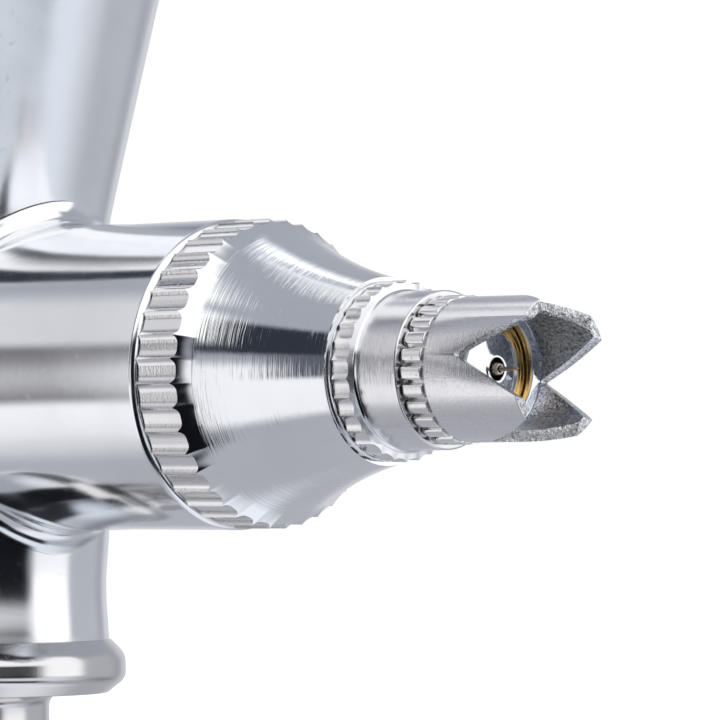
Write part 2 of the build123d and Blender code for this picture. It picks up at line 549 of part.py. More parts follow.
# --------------------------------------------------------------- valve body
with BuildPart() as valve_body:
    upright([(INLET_R, -STUD_CHAMFER), (STUD_R - STUD_CHAMFER, -STUD_CHAMFER), (STUD_R, 0), (STUD_R, STUD_TOP),
             (UNDERCUT_R, STUD_TOP + 0.4), (UNDERCUT_R, COLLAR_BOTTOM), (COLLAR_R - COLLAR_ROUND, COLLAR_BOTTOM),
             (COLLAR_R, COLLAR_BOTTOM + COLLAR_ROUND), (COLLAR_R, BOSS_BOTTOM - COLLAR_ROUND / 2),
             (COLLAR_R - COLLAR_ROUND / 2, BOSS_BOTTOM), (BOSS_BORE_R - SLIDE_FIT, BOSS_BOTTOM),
             (BOSS_BORE_R - SLIDE_FIT, VALVE_THREAD_TOP), (BUTTON_RECESS_R, VALVE_THREAD_TOP),
             (BUTTON_RECESS_R, BUTTON_RECESS_FLOOR), (STEM_R + CLEAR, BUTTON_RECESS_FLOOR),
             (STEM_R + CLEAR, STEM_SEAL_TOP), (STEM_SEAL_R, STEM_SEAL_TOP), (STEM_SEAL_R, STEM_SEAL_BOTTOM),
             (VALVE_SEAT_R, STEM_SEAL_BOTTOM - 0.01), (VALVE_SEAT_R, VALVE_SEAT), (INLET_R, VALVE_SEAT)])
    groove_bottom = AIR_GROOVE_Z - AIR_GROOVE_WIDTH / 2
    groove_top = AIR_GROOVE_Z + AIR_GROOVE_WIDTH / 2
    upright([(BOSS_BORE_R - AIR_GROOVE_DEPTH, groove_bottom), (BOSS_BORE_R + 0.1, groove_bottom),
             (BOSS_BORE_R + 0.1, groove_top), (BOSS_BORE_R - AIR_GROOVE_DEPTH, groove_top)], mode=Mode.SUBTRACT)
    drilled((4.5, 0, AIR_GROOVE_Z), (1.2, 0, AIR_GROOVE_Z - 3.3), 0.4)
valve_body.part.label = "valve_body"

with BuildPart() as valve_gasket:
    upright([(BUTTON_ROOM_R, VALVE_THREAD_TOP), (BOSS_BORE_R - SLIDE_FIT, VALVE_THREAD_TOP),
             (BOSS_BORE_R - SLIDE_FIT, BOSS_SHOULDER), (BUTTON_ROOM_R, BOSS_SHOULDER)])
valve_gasket.part.label = "valve_gasket"

# ---------------------------------------------- valve button, poppet, seals
button_top = NEEDLE_HEIGHT + 3.2 - FOOT_DROP - FOOT_R - BUTTON_GAP
with BuildPart() as valve_button:
    upright([(0, POPPET_TOP), (STEM_R, POPPET_TOP), (STEM_R, button_top - BUTTON_THICKNESS),
             (BUTTON_R, button_top - BUTTON_THICKNESS), (BUTTON_R, button_top - 0.2), (BUTTON_R - 0.2, button_top),
             (0, button_top)])
valve_button.part.label = "valve_button"

with BuildPart() as valve_stem_seal:
    upright([(STEM_R + SLIDE_FIT, STEM_SEAL_BOTTOM), (STEM_SEAL_R - SLIDE_FIT, STEM_SEAL_BOTTOM),
             (STEM_SEAL_R - SLIDE_FIT, STEM_SEAL_TOP), (STEM_R + SLIDE_FIT, STEM_SEAL_TOP)])
valve_stem_seal.part.label = "valve_stem_seal"

with BuildPart() as valve_poppet:
    upright([(0, POPPET_PIN_END), (POPPET_PIN_R, POPPET_PIN_END), (POPPET_PIN_R, POPPET_BOTTOM),
             (POPPET_R, POPPET_BOTTOM), (POPPET_R, POPPET_TOP), (0, POPPET_TOP)])
valve_poppet.part.label = "valve_poppet"

with BuildPart() as valve_packing:
    upright([(STEM_R + SLIDE_FIT, POPPET_TOP), (POPPET_R, POPPET_TOP), (POPPET_R, VALVE_SEAT - 0.03),
             (STEM_R + SLIDE_FIT, VALVE_SEAT - 0.03)])
valve_packing.part.label = "valve_packing"

# ------------------------------------------------ valve spring, guide screw
with BuildPart() as valve_guide_screw:
    upright([(VALVE_SCREW_HOLE_R, -STUD_CHAMFER + 0.3), (INLET_R - SLIDE_FIT, -STUD_CHAMFER + 0.3),
             (INLET_R - SLIDE_FIT, VALVE_SCREW_TOP), (VALVE_SCREW_HOLE_R, VALVE_SCREW_TOP)])
    with BuildSketch(Plane.XY.offset(-STUD_CHAMFER)):
        Rectangle(2 * INLET_R, 0.8)
    extrude(amount=1.1, mode=Mode.SUBTRACT)
valve_guide_screw.part.label = "valve_guide_screw"

valve_spring_bottom = VALVE_SCREW_TOP + VALVE_SPRING_WIRE_R + CLEAR
valve_spring_top = POPPET_BOTTOM - VALVE_SPRING_WIRE_R - CLEAR
with BuildPart() as valve_spring:
    with BuildLine() as valve_coil:
        Helix(pitch=(valve_spring_top - valve_spring_bottom) / VALVE_SPRING_TURNS,
              height=valve_spring_top - valve_spring_bottom, radius=VALVE_SPRING_R,
              center=(0, 0, valve_spring_bottom))
    with BuildSketch(Plane(origin=valve_coil.line @ 0, z_dir=valve_coil.line % 0)):
        Circle(VALVE_SPRING_WIRE_R)
    sweep(is_frenet=True)
valve_spring.part.label = "valve_spring"

# -------------------------------------------------------------- STEP files
os.makedirs("parts", exist_ok=True)
for piece in (barrel, cup, cup_lid, head, head_seal, nozzle, nozzle_cap, needle_cap, needle, needle_packing,
              packing_screw, trigger, trigger_screw, needle_guide, spring_case, needle_spring, needle_nut,
              handle, preset_rod, preset_knob, valve_body, valve_gasket, valve_button, valve_stem_seal,
              valve_poppet, valve_packing, valve_guide_screw, valve_spring):
    export_step(piece.part, f"parts/{piece.part.label}.step")
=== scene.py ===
"""Airbrush gun: the plated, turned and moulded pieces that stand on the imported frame.

Every sub-assembly of the gun is a class that turns, cuts and knurls its own pieces,
dresses them in its finishes and hangs them on the body that they move with. Lengths
inside the classes are millimetres in the gun's own frame; meshes are metres.
"""
import logging
import math
from dataclasses import dataclass
from enum import Enum
from typing import Iterable, Optional, Sequence

import bmesh
import bpy
from mathutils import Matrix, Vector


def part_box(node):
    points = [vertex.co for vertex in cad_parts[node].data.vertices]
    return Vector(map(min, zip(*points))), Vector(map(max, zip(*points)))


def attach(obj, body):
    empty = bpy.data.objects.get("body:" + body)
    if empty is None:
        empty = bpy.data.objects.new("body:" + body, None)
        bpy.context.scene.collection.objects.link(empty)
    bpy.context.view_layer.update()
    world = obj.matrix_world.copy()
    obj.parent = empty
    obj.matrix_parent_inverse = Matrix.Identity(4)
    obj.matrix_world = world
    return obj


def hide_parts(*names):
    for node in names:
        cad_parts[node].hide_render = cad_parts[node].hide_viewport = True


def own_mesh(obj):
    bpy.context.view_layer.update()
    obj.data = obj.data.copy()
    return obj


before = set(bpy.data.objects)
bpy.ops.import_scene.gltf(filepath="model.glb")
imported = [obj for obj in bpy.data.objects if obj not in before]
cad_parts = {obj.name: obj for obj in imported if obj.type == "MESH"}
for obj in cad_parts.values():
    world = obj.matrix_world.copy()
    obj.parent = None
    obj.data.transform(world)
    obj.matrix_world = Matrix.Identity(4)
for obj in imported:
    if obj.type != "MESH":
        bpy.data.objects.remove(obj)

LOG = logging.getLogger("airbrush")
MM = 0.001
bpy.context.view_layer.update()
Point = tuple[float, float]
Colour = tuple[float, float, float]


def low(node: str) -> Vector:
    """Give a CAD node's lowest corner in millimetres.

    Args:
        node: The node's name.

    Returns:
        The corner.
    """
    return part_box(node)[0] / MM


def high(node: str) -> Vector:
    """Give a CAD node's highest corner in millimetres.

    Args:
        node: The node's name.

    Returns:
        The corner.
    """
    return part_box(node)[1] / MM


NEEDLE_HEIGHT = (low("needle").z + high("needle").z) / 2


# ------------------------------------------------------------------ outlines
class Spin(Enum):
    """The line that an outline is turned about."""

    NEEDLE = "needle"
    VALVE = "valve"


@dataclass(frozen=True)
class Corner:
    """One corner of a turned outline.

    Attributes:
        along: Its station along the axis.
        out: Its radius.
        round: The radius of the arc that breaks the corner.
        drop: How far the corner follows a knurl's depth, 0 or 1.
        slide: How far it moves along the axis for each millimetre of that depth.
        zone: The number of the finish of the stretch that begins here.
    """

    along: float
    out: float
    round: float = 0.0
    drop: float = 0.0
    slide: float = 0.0
    zone: int = 0


def broken(corners: Sequence[Corner], steps: int = 4, hold: float = 0.04) -> list[Corner]:
    """Break an outline's corners with arcs, and hold each arc with a close loop.

    Args:
        corners: The closed outline's corners in order.
        steps: How many faces an arc has.
        hold: How far from an arc its holding loop stands.

    Returns:
        The finer outline.
    """
    finer: list[Corner] = []
    for index, corner in enumerate(corners):
        if corner.round <= 0:
            finer.append(corner)
            continue
        here = Vector((corner.along, corner.out))
        before = corners[index - 1]
        after = corners[(index + 1) % len(corners)]
        back = Vector((before.along, before.out)) - here
        ahead = Vector((after.along, after.out)) - here
        half_turn = back.angle(ahead) / 2
        reach = min(corner.round / math.tan(half_turn), 0.45 * back.length, 0.45 * ahead.length)
        radius = reach * math.tan(half_turn)
        start = here + back.normalized() * reach
        end = here + ahead.normalized() * reach
        middle = here + (back.normalized() + ahead.normalized()).normalized() * (radius / math.sin(half_turn))
        zone_before = before.zone
        if back.length > 2.5 * (reach + hold):
            near = here + back.normalized() * (reach + hold)
            finer.append(Corner(near.x, near.y, 0, corner.drop, corner.slide, zone_before))
        for step in range(steps + 1):
            share = step / steps
            chord = start.lerp(end, share)
            spot = middle + (chord - middle).normalized() * radius
            zone = corner.zone if step == steps else zone_before
            finer.append(Corner(spot.x, spot.y, 0, corner.drop, corner.slide, zone))
        if ahead.length > 2.5 * (reach + hold):
            near = here + ahead.normalized() * (reach + hold)
            finer.append(Corner(near.x, near.y, 0, corner.drop, corner.slide, corner.zone))
    return finer


def placed(spin: Spin, along: float, out: float, turn: float) -> Vector:
    """Place a point of a turned surface.

    Args:
        spin: The line that the surface is turned about.
        along: The station on it.
        out: The radius.
        turn: The angle, from straight up on the needle axis or from +X on the valve axis.

    Returns:
        The point in metres.
    """
    if spin is Spin.NEEDLE:
        return Vector((along, out * math.sin(turn), NEEDLE_HEIGHT + out * math.cos(turn))) * MM
    return Vector((out * math.cos(turn), out * math.sin(turn), along)) * MM


# -------------------------------------------------------------------- meshes
def new_object(name: str, mesh: bpy.types.Mesh) -> bpy.types.Object:
    """Link a mesh into the scene as an object at the origin.

    Args:
        name: The object's name.
        mesh: Its mesh.

    Returns:
        The object.
    """
    thing = bpy.data.objects.new(name, mesh)
    bpy.context.scene.collection.objects.link(thing)
    return thing


def closed_up(build: bmesh.types.BMesh) -> None:
    """Merge doubled points and turn the faces outwards.

    Args:
        build: The mesh under construction.
    """
    bmesh.ops.remove_doubles(build, verts=build.verts, dist=2e-7)
    bmesh.ops.dissolve_degenerate(build, dist=1e-7, edges=build.edges)
    bmesh.ops.recalc_face_normals(build, faces=build.faces)


def smooth(mesh: bpy.types.Mesh, angle: float = 32.0) -> None:
    """Shade a mesh smoothly, with creases where faces meet sharply.

    Args:
        mesh: The mesh.
        angle: The least angle of a crease, in degrees.
    """
    mesh.polygons.foreach_set("use_smooth", [True] * len(mesh.polygons))
    mesh.set_sharp_from_angle(angle=math.radians(angle))


def meshed(build: bmesh.types.BMesh, name: str) -> bpy.types.Mesh:
    """Turn a mesh under construction into a finished mesh.

    Args:
        build: The mesh under construction, which is freed.
        name: The new mesh's name.

    Returns:
        The mesh.
    """
    mesh = bpy.data.meshes.new(name)
    build.to_mesh(mesh)
    build.free()
    return mesh


def bridge(build: bmesh.types.BMesh, first: Sequence, second: Sequence, zone: int = 0) -> None:
    """Join two rings of points with faces.

    Args:
        build: The mesh under construction.
        first: One ring.
        second: The other ring.
        zone: The number of the faces' finish.
    """
    for step in range(len(first)):
        after = (step + 1) % len(first)
        face = build.faces.new((first[step], first[after], second[after], second[step]))
        face.material_index = zone


def fan(build: bmesh.types.BMesh, ring: Sequence, middle: bmesh.types.BMVert) -> None:
    """Close a ring of points with faces that meet in one point.

    Args:
        build: The mesh under construction.
        ring: The ring.
        middle: The point.
    """
    for step in range(len(ring)):
        build.faces.new((ring[step], ring[(step + 1) % len(ring)], middle))


def turned(name: str, corners: Sequence[Corner], spin: Spin = Spin.NEEDLE,
           segments: int = 160) -> bpy.types.Object:
    """Turn a closed outline about an axis.

    Args:
        name: The new object's name.
        corners: The outline; one that touches the axis closes there.
        spin: The axis.
        segments: How many faces go round.

    Returns:
        The object, with point attributes that a knurl follows.
    """
    outline = broken(corners)
    build = bmesh.new()
    drop = build.verts.layers.float.new("drop")
    slide = build.verts.layers.float.new("slide")
    rings = []
    for corner in outline:
        ring = []
        for step in range(segments):
            vert = build.verts.new(placed(spin, corner.along, corner.out, math.tau * step / segments))
            vert[drop] = corner.drop
            vert[slide] = corner.slide
            ring.append(vert)
        rings.append(ring)
    for index, ring in enumerate(rings):
        onward = (index + 1) % len(rings)
        if outline[index].out > 0 or outline[onward].out > 0:
            bridge(build, ring, rings[onward], outline[index].zone)
    closed_up(build)
    mesh = meshed(build, name)
    smooth(mesh)
    return new_object(name, mesh)


def box(name: str, lowest: Sequence[float], highest: Sequence[float]) -> bpy.types.Object:
    """Make a box for cutting.

    Args:
        name: The new object's name.
        lowest: Its lowest corner in millimetres.
        highest: Its highest corner in millimetres.

    Returns:
        The box.
    """
    build = bmesh.new()
    bmesh.ops.create_cube(build, size=1.0)
    size = Vector(highest) - Vector(lowest)
    middle = (Vector(highest) + Vector(lowest)) / 2
    matrix = Matrix.Translation(middle * MM) @ Matrix.Diagonal((*(size * MM), 1.0))
    bmesh.ops.transform(build, matrix=matrix, verts=build.verts)
    return new_object(name, meshed(build, name))


def prism(name: str, outline: Sequence[Point], origin: Vector, across: Vector, up: Vector,
          depth: float) -> bpy.types.Object:
    """Make a straight prism for cutting, half of it on each side of its outline.

    Args:
        name: The new object's name.
        outline: The outline's points in millimetres.
        origin: Where the outline's zero is, in millimetres.
        across: The direction of an outline point's first number.
        up: The direction of its second number.
        depth: The prism's whole length in millimetres.

    Returns:
        The prism.
    """
    build = bmesh.new()
    along = across.cross(up).normalized() * (depth / 2)
    ends = []
    for side in (-1, 1):
        ends.append([build.verts.new((origin + across * a + up * b + along * side) * MM) for a, b in outline])
    build.faces.new(ends[0])
    build.faces.new(ends[1])
    bridge(build, *ends)
    bmesh.ops.recalc_face_normals(build, faces=build.faces)
    return new_object(name, meshed(build, name))


def circle(radius: float, steps: int) -> list[Point]:
    """Give the points of a circle.

    Args:
        radius: Its radius.
        steps: How many edges it has.

    Returns:
        The points in order.
    """
    turns = [math.tau * step / steps for step in range(steps)]
    return [(math.cos(turn) * radius, math.sin(turn) * radius) for turn in turns]


def rounded_box_outline(width: float, height: float, radius: float, steps: int = 10) -> list[Point]:
    """Give the points of a rectangle with round corners.

    Args:
        width: Its width.
        height: Its height.
        radius: Its corners' radius.
        steps: How many edges a corner has.

    Returns:
        The points in order.
    """
    points = []
    for quarter, (side, lift) in enumerate(((1, 1), (-1, 1), (-1, -1), (1, -1))):
        centre = (side * (width / 2 - radius), lift * (height / 2 - radius))
        for step in range(steps + 1):
            turn = math.radians(90 * quarter + 90 * step / steps)
            points.append((centre[0] + radius * math.cos(turn), centre[1] + radius * math.sin(turn)))
    return points


def settle(piece: bpy.types.Object) -> bpy.types.Object:
    """Turn a piece and its modifiers into a plain mesh.

    Args:
        piece: The object.

    Returns:
        The same object with no modifier.
    """
    bpy.context.view_layer.update()
    graph = bpy.context.evaluated_depsgraph_get()
    plain = bpy.data.meshes.new_from_object(piece.evaluated_get(graph), preserve_all_data_layers=True,
                                            depsgraph=graph)
    piece.modifiers.clear()
    piece.data = plain
    plain.name = piece.name
    return piece


def cut(piece: bpy.types.Object, cutters: Iterable[bpy.types.Object]) -> bpy.types.Object:
    """Cut other meshes out of a piece and throw them away.

    Args:
        piece: What is cut.
        cutters: What is cut out of it.

    Returns:
        The piece.
    """
    for cutter in cutters:
        knife = piece.modifiers.new("cut", "BOOLEAN")
        knife.operation = "DIFFERENCE"
        knife.solver = "EXACT"
        knife.object = cutter
        settle(piece)
        bpy.data.objects.remove(cutter)
    smooth(piece.data)
    return piece


def eased(piece: bpy.types.Object, width: float, angle: float = 35.0, segments: int = 2) -> bpy.types.Object:
    """Break a piece's sharp edges with a small bevel.

    Args:
        piece: The object.
        width: The bevel's width in millimetres.
        angle: The least angle of an edge that is broken, in degrees.
        segments: How many faces the bevel has.

    Returns:
        The piece.
    """
    bevel = piece.modifiers.new("edges", "BEVEL")
    bevel.width = width * MM
    bevel.segments = segments
    bevel.limit_method = "ANGLE"
    bevel.angle_limit = math.radians(angle)
    bevel.use_clamp_overlap = True
    bevel.harden_normals = False
    settle(piece)
    smooth(piece.data, 40)
    return piece


def from_cad(name: str, node: str) -> bpy.types.Object:
    """Copy a CAD node's mesh with its loose triangles joined up.

    Args:
        name: The new object's name.
        node: The node.

    Returns:
        The copy.
    """
    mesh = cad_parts[node].data.copy()
    mesh.name = name
    build = bmesh.new()
    build.from_mesh(mesh)
    bmesh.ops.remove_doubles(build, verts=build.verts, dist=1e-6)
    bmesh.ops.dissolve_limit(build, angle_limit=math.radians(0.6), verts=build.verts, edges=build.edges)
    build.to_mesh(mesh)
    build.free()
    mesh.materials.clear()
    smooth(mesh)
    return new_object(name, mesh)


# ------------------------------------------------------------ shader helpers
class Graph:
    """A node tree with short ways to add and join nodes."""

    def __init__(self, tree: bpy.types.NodeTree) -> None:
        """Take over a tree.

        Args:
            tree: The tree that nodes are added to.
        """
        self.tree = tree

    def node(self, kind: str, values: Optional[dict] = None, **settings: object) -> bpy.types.Node:
        """Add a node.

        Args:
            kind: The node's type name.
            values: Input name or number to a value or an output socket.
            settings: The node's own properties.

        Returns:
            The node.
        """
        made = self.tree.nodes.new(kind)
        for key, setting in settings.items():
            setattr(made, key, setting)
        for key, value in (values or {}).items():
            self.feed(made.inputs[key], value)
        return made

    def feed(self, socket: bpy.types.NodeSocket, value: object) -> None:
        """Give a socket a link or a value.

        Args:
            socket: The input.
            value: An output socket, or the value.
        """
        if isinstance(value, bpy.types.NodeSocket):
            self.tree.links.new(value, socket)
        else:
            socket.default_value = value

    def math(self, operation: str, first: object, second: object = 0.0) -> object:
        """Add a sum of two numbers and give its output.

        Args:
            operation: The sum's name.
            first: Its first number.
            second: Its second number.

        Returns:
            The output socket.
        """
        return self.node("ShaderNodeMath", {0: first, 1: second}, operation=operation).outputs[0]

    def ramp(self, value: object, start: float, end: float, low_out: float = 0.0,
             high_out: float = 1.0) -> object:
        """Map a stretch of a number smoothly onto another.

        Args:
            value: The number.
            start: Where the stretch begins.
            end: Where it ends.
            low_out: The result at its beginning.
            high_out: The result at its end.

        Returns:
            The output socket.
        """
        return self.node("ShaderNodeMapRange", {0: value, 1: start, 2: end, 3: low_out, 4: high_out},
                         interpolation_type="SMOOTHSTEP").outputs[0]

    def noise(self, vector: object, scale: float, detail: float = 2.0, rough: float = 0.5) -> object:
        """Add a noise and give its value.

        Args:
            vector: Where it is read.
            scale: Its scale.
            detail: Its detail.
            rough: Its roughness.

        Returns:
            The output socket.
        """
        values = {"Vector": vector, "Scale": scale, "Detail": detail, "Roughness": rough}
        return self.node("ShaderNodeTexNoise", values).outputs[0]

    def mix(self, share: object, first: object, second: object) -> object:
        """Blend two colours.

        Args:
            share: How much of the second there is.
            first: The first colour.
            second: The second colour.

        Returns:
            The output socket.
        """
        return self.node("ShaderNodeMix", {0: share, 6: first, 7: second}, data_type="RGBA").outputs[2]

    def bump(self, height: object, strength: float = 0.5, distance: float = 0.00002) -> object:
        """Add a bump.

        Args:
            height: How high the surface is.
            strength: The bump's strength.
            distance: The height of 1, in metres.

        Returns:
            The output socket.
        """
        values = {"Strength": strength, "Distance": distance, "Height": height}
        return self.node("ShaderNodeBump", values).outputs[0]


def needle_coordinates(graph: Graph) -> tuple[object, object, object]:
    """Give a point's place about the needle axis, from object coordinates.

    Args:
        graph: The material's graph.

    Returns:
        The object vector, the station along the axis in millimetres, and the angle in turns.
    """
    where = graph.node("ShaderNodeTexCoord").outputs["Object"]
    apart = graph.node("ShaderNodeSeparateXYZ", {0: where}).outputs
    along = graph.math("MULTIPLY", apart[0], 1 / MM)
    height = graph.math("SUBTRACT", apart[2], NEEDLE_HEIGHT * MM)
    angle = graph.math("ARCTAN2", apart[1], height)
    return where, along, graph.math("DIVIDE", angle, math.tau)


# ------------------------------------------------------------------ finishes
SMEAR_SCALE = 170.0
SPECK_SCALE = 2600.0
PIT_SCALE = 8200.0
PATCH_SCALE = 330.0
CLOUD_SCALE = 420.0
SEAL_CLOUD_SCALE = 600.0
SEAL_GRAIN_SCALE = 4000.0


def shaded(tint: Colour, share: float) -> tuple[float, ...]:
    """Give a colour darkened to a share of itself, with a full alpha."""
    return (*(channel * share for channel in tint), 1.0)


class Finish:
    """A finish whose material is built once and then shared."""

    name: str

    def material(self) -> bpy.types.Material:
        """Build the material.

        Returns:
            The material, or the one that was built before.
        """
        found = bpy.data.materials.get(self.name)
        if found:
            return found
        made = bpy.data.materials.new(self.name)
        made.use_nodes = True
        self.shade(Graph(made.node_tree), made.node_tree.nodes["Principled BSDF"])
        return made

    def shade(self, graph: Graph, shader: bpy.types.Node) -> None:
        """Set up the shader; each kind of finish has its own way."""
        raise NotImplementedError


@dataclass(frozen=True)
class Plate(Finish):
    """Chrome plate, from mirror polish to a plain turned surface under the plate.

    Attributes:
        name: The material's name.
        tint: The metal's colour.
        gloss: Its lowest roughness.
        haze: How much roughness smears and wear add.
        marks: The strength of the turning marks, 0 for none.
        marks_scale: How many marks a millimetre has.
        grain: The strength of the plate's fine orange-peel or pitting.
        grain_scale: The size of that grain, per millimetre.
        fleck: How dark the small pits in the plate are, 0 for none.
    """

    name: str
    tint: Colour = (0.86, 0.87, 0.89)
    gloss: float = 0.035
    haze: float = 0.05
    marks: float = 0.0
    marks_scale: float = 14.0
    grain: float = 0.03
    grain_scale: float = 2.4
    fleck: float = 0.0

    def shade(self, graph: Graph, shader: bpy.types.Node) -> None:
        """Set up the shader.

        Args:
            graph: The material's graph.
            shader: Its shader.
        """
        where, along, turn = needle_coordinates(graph)
        smears = graph.noise(where, SMEAR_SCALE, 3.0, 0.6)
        specks = graph.noise(where, SPECK_SCALE, 2.0, 0.7)
        wear = graph.node("ShaderNodeNewGeometry").outputs["Pointiness"]
        edge = graph.ramp(wear, 0.515, 0.57)
        haze = graph.ramp(smears, 0.42, 0.72, 0.0, self.haze)
        rough = graph.math("ADD", graph.math("ADD", haze, self.gloss),
                           graph.math("MULTIPLY", edge, 0.08))
        rough = graph.math("ADD", rough, graph.ramp(specks, 0.62, 0.75, 0.0, self.haze * 1.5))
        colour = graph.mix(graph.ramp(smears, 0.3, 0.75), shaded(self.tint, 1.0), shaded(self.tint, 0.94))
        if self.fleck > 0:
            depth = graph.ramp(graph.noise(where, PIT_SCALE, 3.0, 0.7), 0.46, 0.60, 0.0, self.fleck)
            colour = graph.mix(depth, colour, shaded(self.tint, 0.12))
        graph.feed(shader.inputs["Base Color"], colour)
        shader.inputs["Metallic"].default_value = 1.0
        graph.feed(shader.inputs["Roughness"], rough)
        height = graph.math("MULTIPLY", graph.noise(where, self.grain_scale / MM, 2.0), self.grain)
        if self.marks > 0:
            spread = graph.node("ShaderNodeCombineXYZ", {
                0: graph.math("MULTIPLY", along, self.marks_scale),
                1: graph.math("MULTIPLY", turn, 5.0), 2: 0.0})
            rings = graph.noise(spread.outputs[0], 1.0, 3.0, 0.75)
            patches = graph.ramp(graph.noise(where, PATCH_SCALE, 2.0), 0.35, 0.7, 0.6, 1.0)
            cuts = graph.math("MULTIPLY", graph.math("MULTIPLY", rings, self.marks), patches)
            height = graph.math("ADD", height, cuts)
        graph.feed(shader.inputs["Normal"], graph.bump(height))


@dataclass(frozen=True)
class BareMetal(Finish):
    """A bare turned or ground metal, such as brass or needle steel.

    Attributes:
        name: The material's name.
        tint: The clean metal's colour.
        stain: The colour of its tarnish.
        rough: Its roughness.
        marks: The strength of the turning marks.
        marks_scale: How many marks a millimetre has.
    """

    name: str
    tint: Colour
    stain: Colour
    rough: float = 0.2
    marks: float = 0.5
    marks_scale: float = 10.0

    def shade(self, graph: Graph, shader: bpy.types.Node) -> None:
        """Set up the shader.

        Args:
            graph: The material's graph.
            shader: Its shader.
        """
        where, along, turn = needle_coordinates(graph)
        cloud = graph.noise(where, CLOUD_SCALE, 4.0, 0.65)
        tone = graph.mix(graph.ramp(cloud, 0.4, 0.72), shaded(self.tint, 1.0), shaded(self.stain, 1.0))
        graph.feed(shader.inputs["Base Color"], tone)
        shader.inputs["Metallic"].default_value = 1.0
        graph.feed(shader.inputs["Roughness"], graph.ramp(cloud, 0.3, 0.8, self.rough, self.rough * 1.8))
        spread = graph.node("ShaderNodeCombineXYZ", {
            0: graph.math("MULTIPLY", along, self.marks_scale),
            1: graph.math("MULTIPLY", turn, 4.0), 2: 0.0})
        rings = graph.math("MULTIPLY", graph.noise(spread.outputs[0], 1.0, 3.0, 0.7), self.marks)
        graph.feed(shader.inputs["Normal"], graph.bump(rings))


@dataclass(frozen=True)
class Soft(Finish):
    """A seal's rubber or white plastic.

    Attributes:
        name: The material's name.
        tint: Its colour.
        rough: Its roughness.
        grain: How deep its grain is.
    """

    name: str
    tint: Colour
    rough: float = 0.55
    grain: float = 0.4

    def shade(self, graph: Graph, shader: bpy.types.Node) -> None:
        """Set up the shader.

        Args:
            graph: The material's graph.
            shader: Its shader.
        """
        where = graph.node("ShaderNodeTexCoord").outputs["Object"]
        cloud = graph.noise(where, SEAL_CLOUD_SCALE, 3.0)
        tone = graph.mix(cloud, shaded(self.tint, 1.0), shaded(self.tint, 0.8))
        graph.feed(shader.inputs["Base Color"], tone)
        graph.feed(shader.inputs["Roughness"], graph.ramp(cloud, 0.3, 0.7, self.rough, self.rough + 0.2))
        height = graph.math("MULTIPLY", graph.noise(where, SEAL_GRAIN_SCALE, 2.0), self.grain)
        graph.feed(shader.inputs["Normal"], graph.bump(height, 0.4, 0.00003))


POLISHED = Plate("polished_plate")
POLISHED_BODY = Plate("polished_body_plate", gloss=0.095, haze=0.05)
POLISHED_CUP = Plate("polished_cup_plate", gloss=0.13, haze=0.05)
SATIN_COLLAR = Plate("satin_collar_plate", (0.74, 0.73, 0.73), 0.17, 0.08, 0.3, 8.0, 0.1, 5.0)
TURNED_CONE = Plate("turned_cone_plate", (0.86, 0.87, 0.89), 0.06, 0.05, 1.9, 7.0, 0.08, 5.0)
KNURLED = Plate("knurled_plate", (0.84, 0.83, 0.83), 0.13, 0.10, 0.3, 6.0, 0.35, 9.0)
SATIN_CAP = Plate("satin_cap_plate", (0.84, 0.83, 0.84), 0.17, 0.06, 1.2, 12.0, 0.18, 9.0)
SATIN_CROWN = Plate("satin_crown_plate", (0.84, 0.83, 0.84), 0.20, 0.07, 1.0, 11.0, 0.4, 9.0, 0.05)
SAWN = Plate("sawn_plate", (0.80, 0.81, 0.83), 0.20, 0.16, 2.6, 12.0, 4.0, 7.0, 0.60)
# The crown's bore wall: a rougher plate, partly real, whose darkened and blued tint is painted shade inside
# the bore.
DULL_SHADED_BORE = Plate("dull_bore_painted_shade_plate", (0.60, 0.64, 0.71), 0.22, 0.22, 3.2, 11.0, 4.5, 7.0, 0.62)
BRIGHT_BORE = Plate("bright_bore_plate", (0.88, 0.89, 0.92), 0.10, 0.04, 0.5, 12.0, 0.1, 8.0)
# Painted shadow: the air hole's inside is given a near-black plate in place of the shade that falls there.
PAINTED_HOLE_SHADOW = Plate("air_hole_shadow", (0.05, 0.045, 0.04), 0.5, 0.1, 0.4, 10.0, 0.3, 9.0)
BRASS = BareMetal("turned_brass", (0.80, 0.52, 0.18), (0.42, 0.23, 0.07), 0.16, 1.1, 12.0)
NOZZLE_METAL = BareMetal("nozzle_alloy", (0.70, 0.63, 0.52), (0.46, 0.40, 0.32), 0.2, 0.5, 14.0)
STEEL = BareMetal("needle_steel", (0.56, 0.52, 0.48), (0.36, 0.33, 0.30), 0.16, 0.35, 16.0)
WIRE = BareMetal("spring_wire", (0.52, 0.52, 0.53), (0.30, 0.29, 0.28), 0.24, 0.3, 5.0)
WHITE_SEAL = Soft("white_seal", (0.88, 0.88, 0.86), 0.5, 0.3)
BLACK_SEAL = Soft("black_rubber", (0.03, 0.03, 0.032), 0.55, 0.5)


# ------------------------------------------------------------ geometry nodes
class KnurlShape(Enum):
    """The section of a ring of teeth."""

    FLUTED = "fluted"
    LOBED = "lobed"


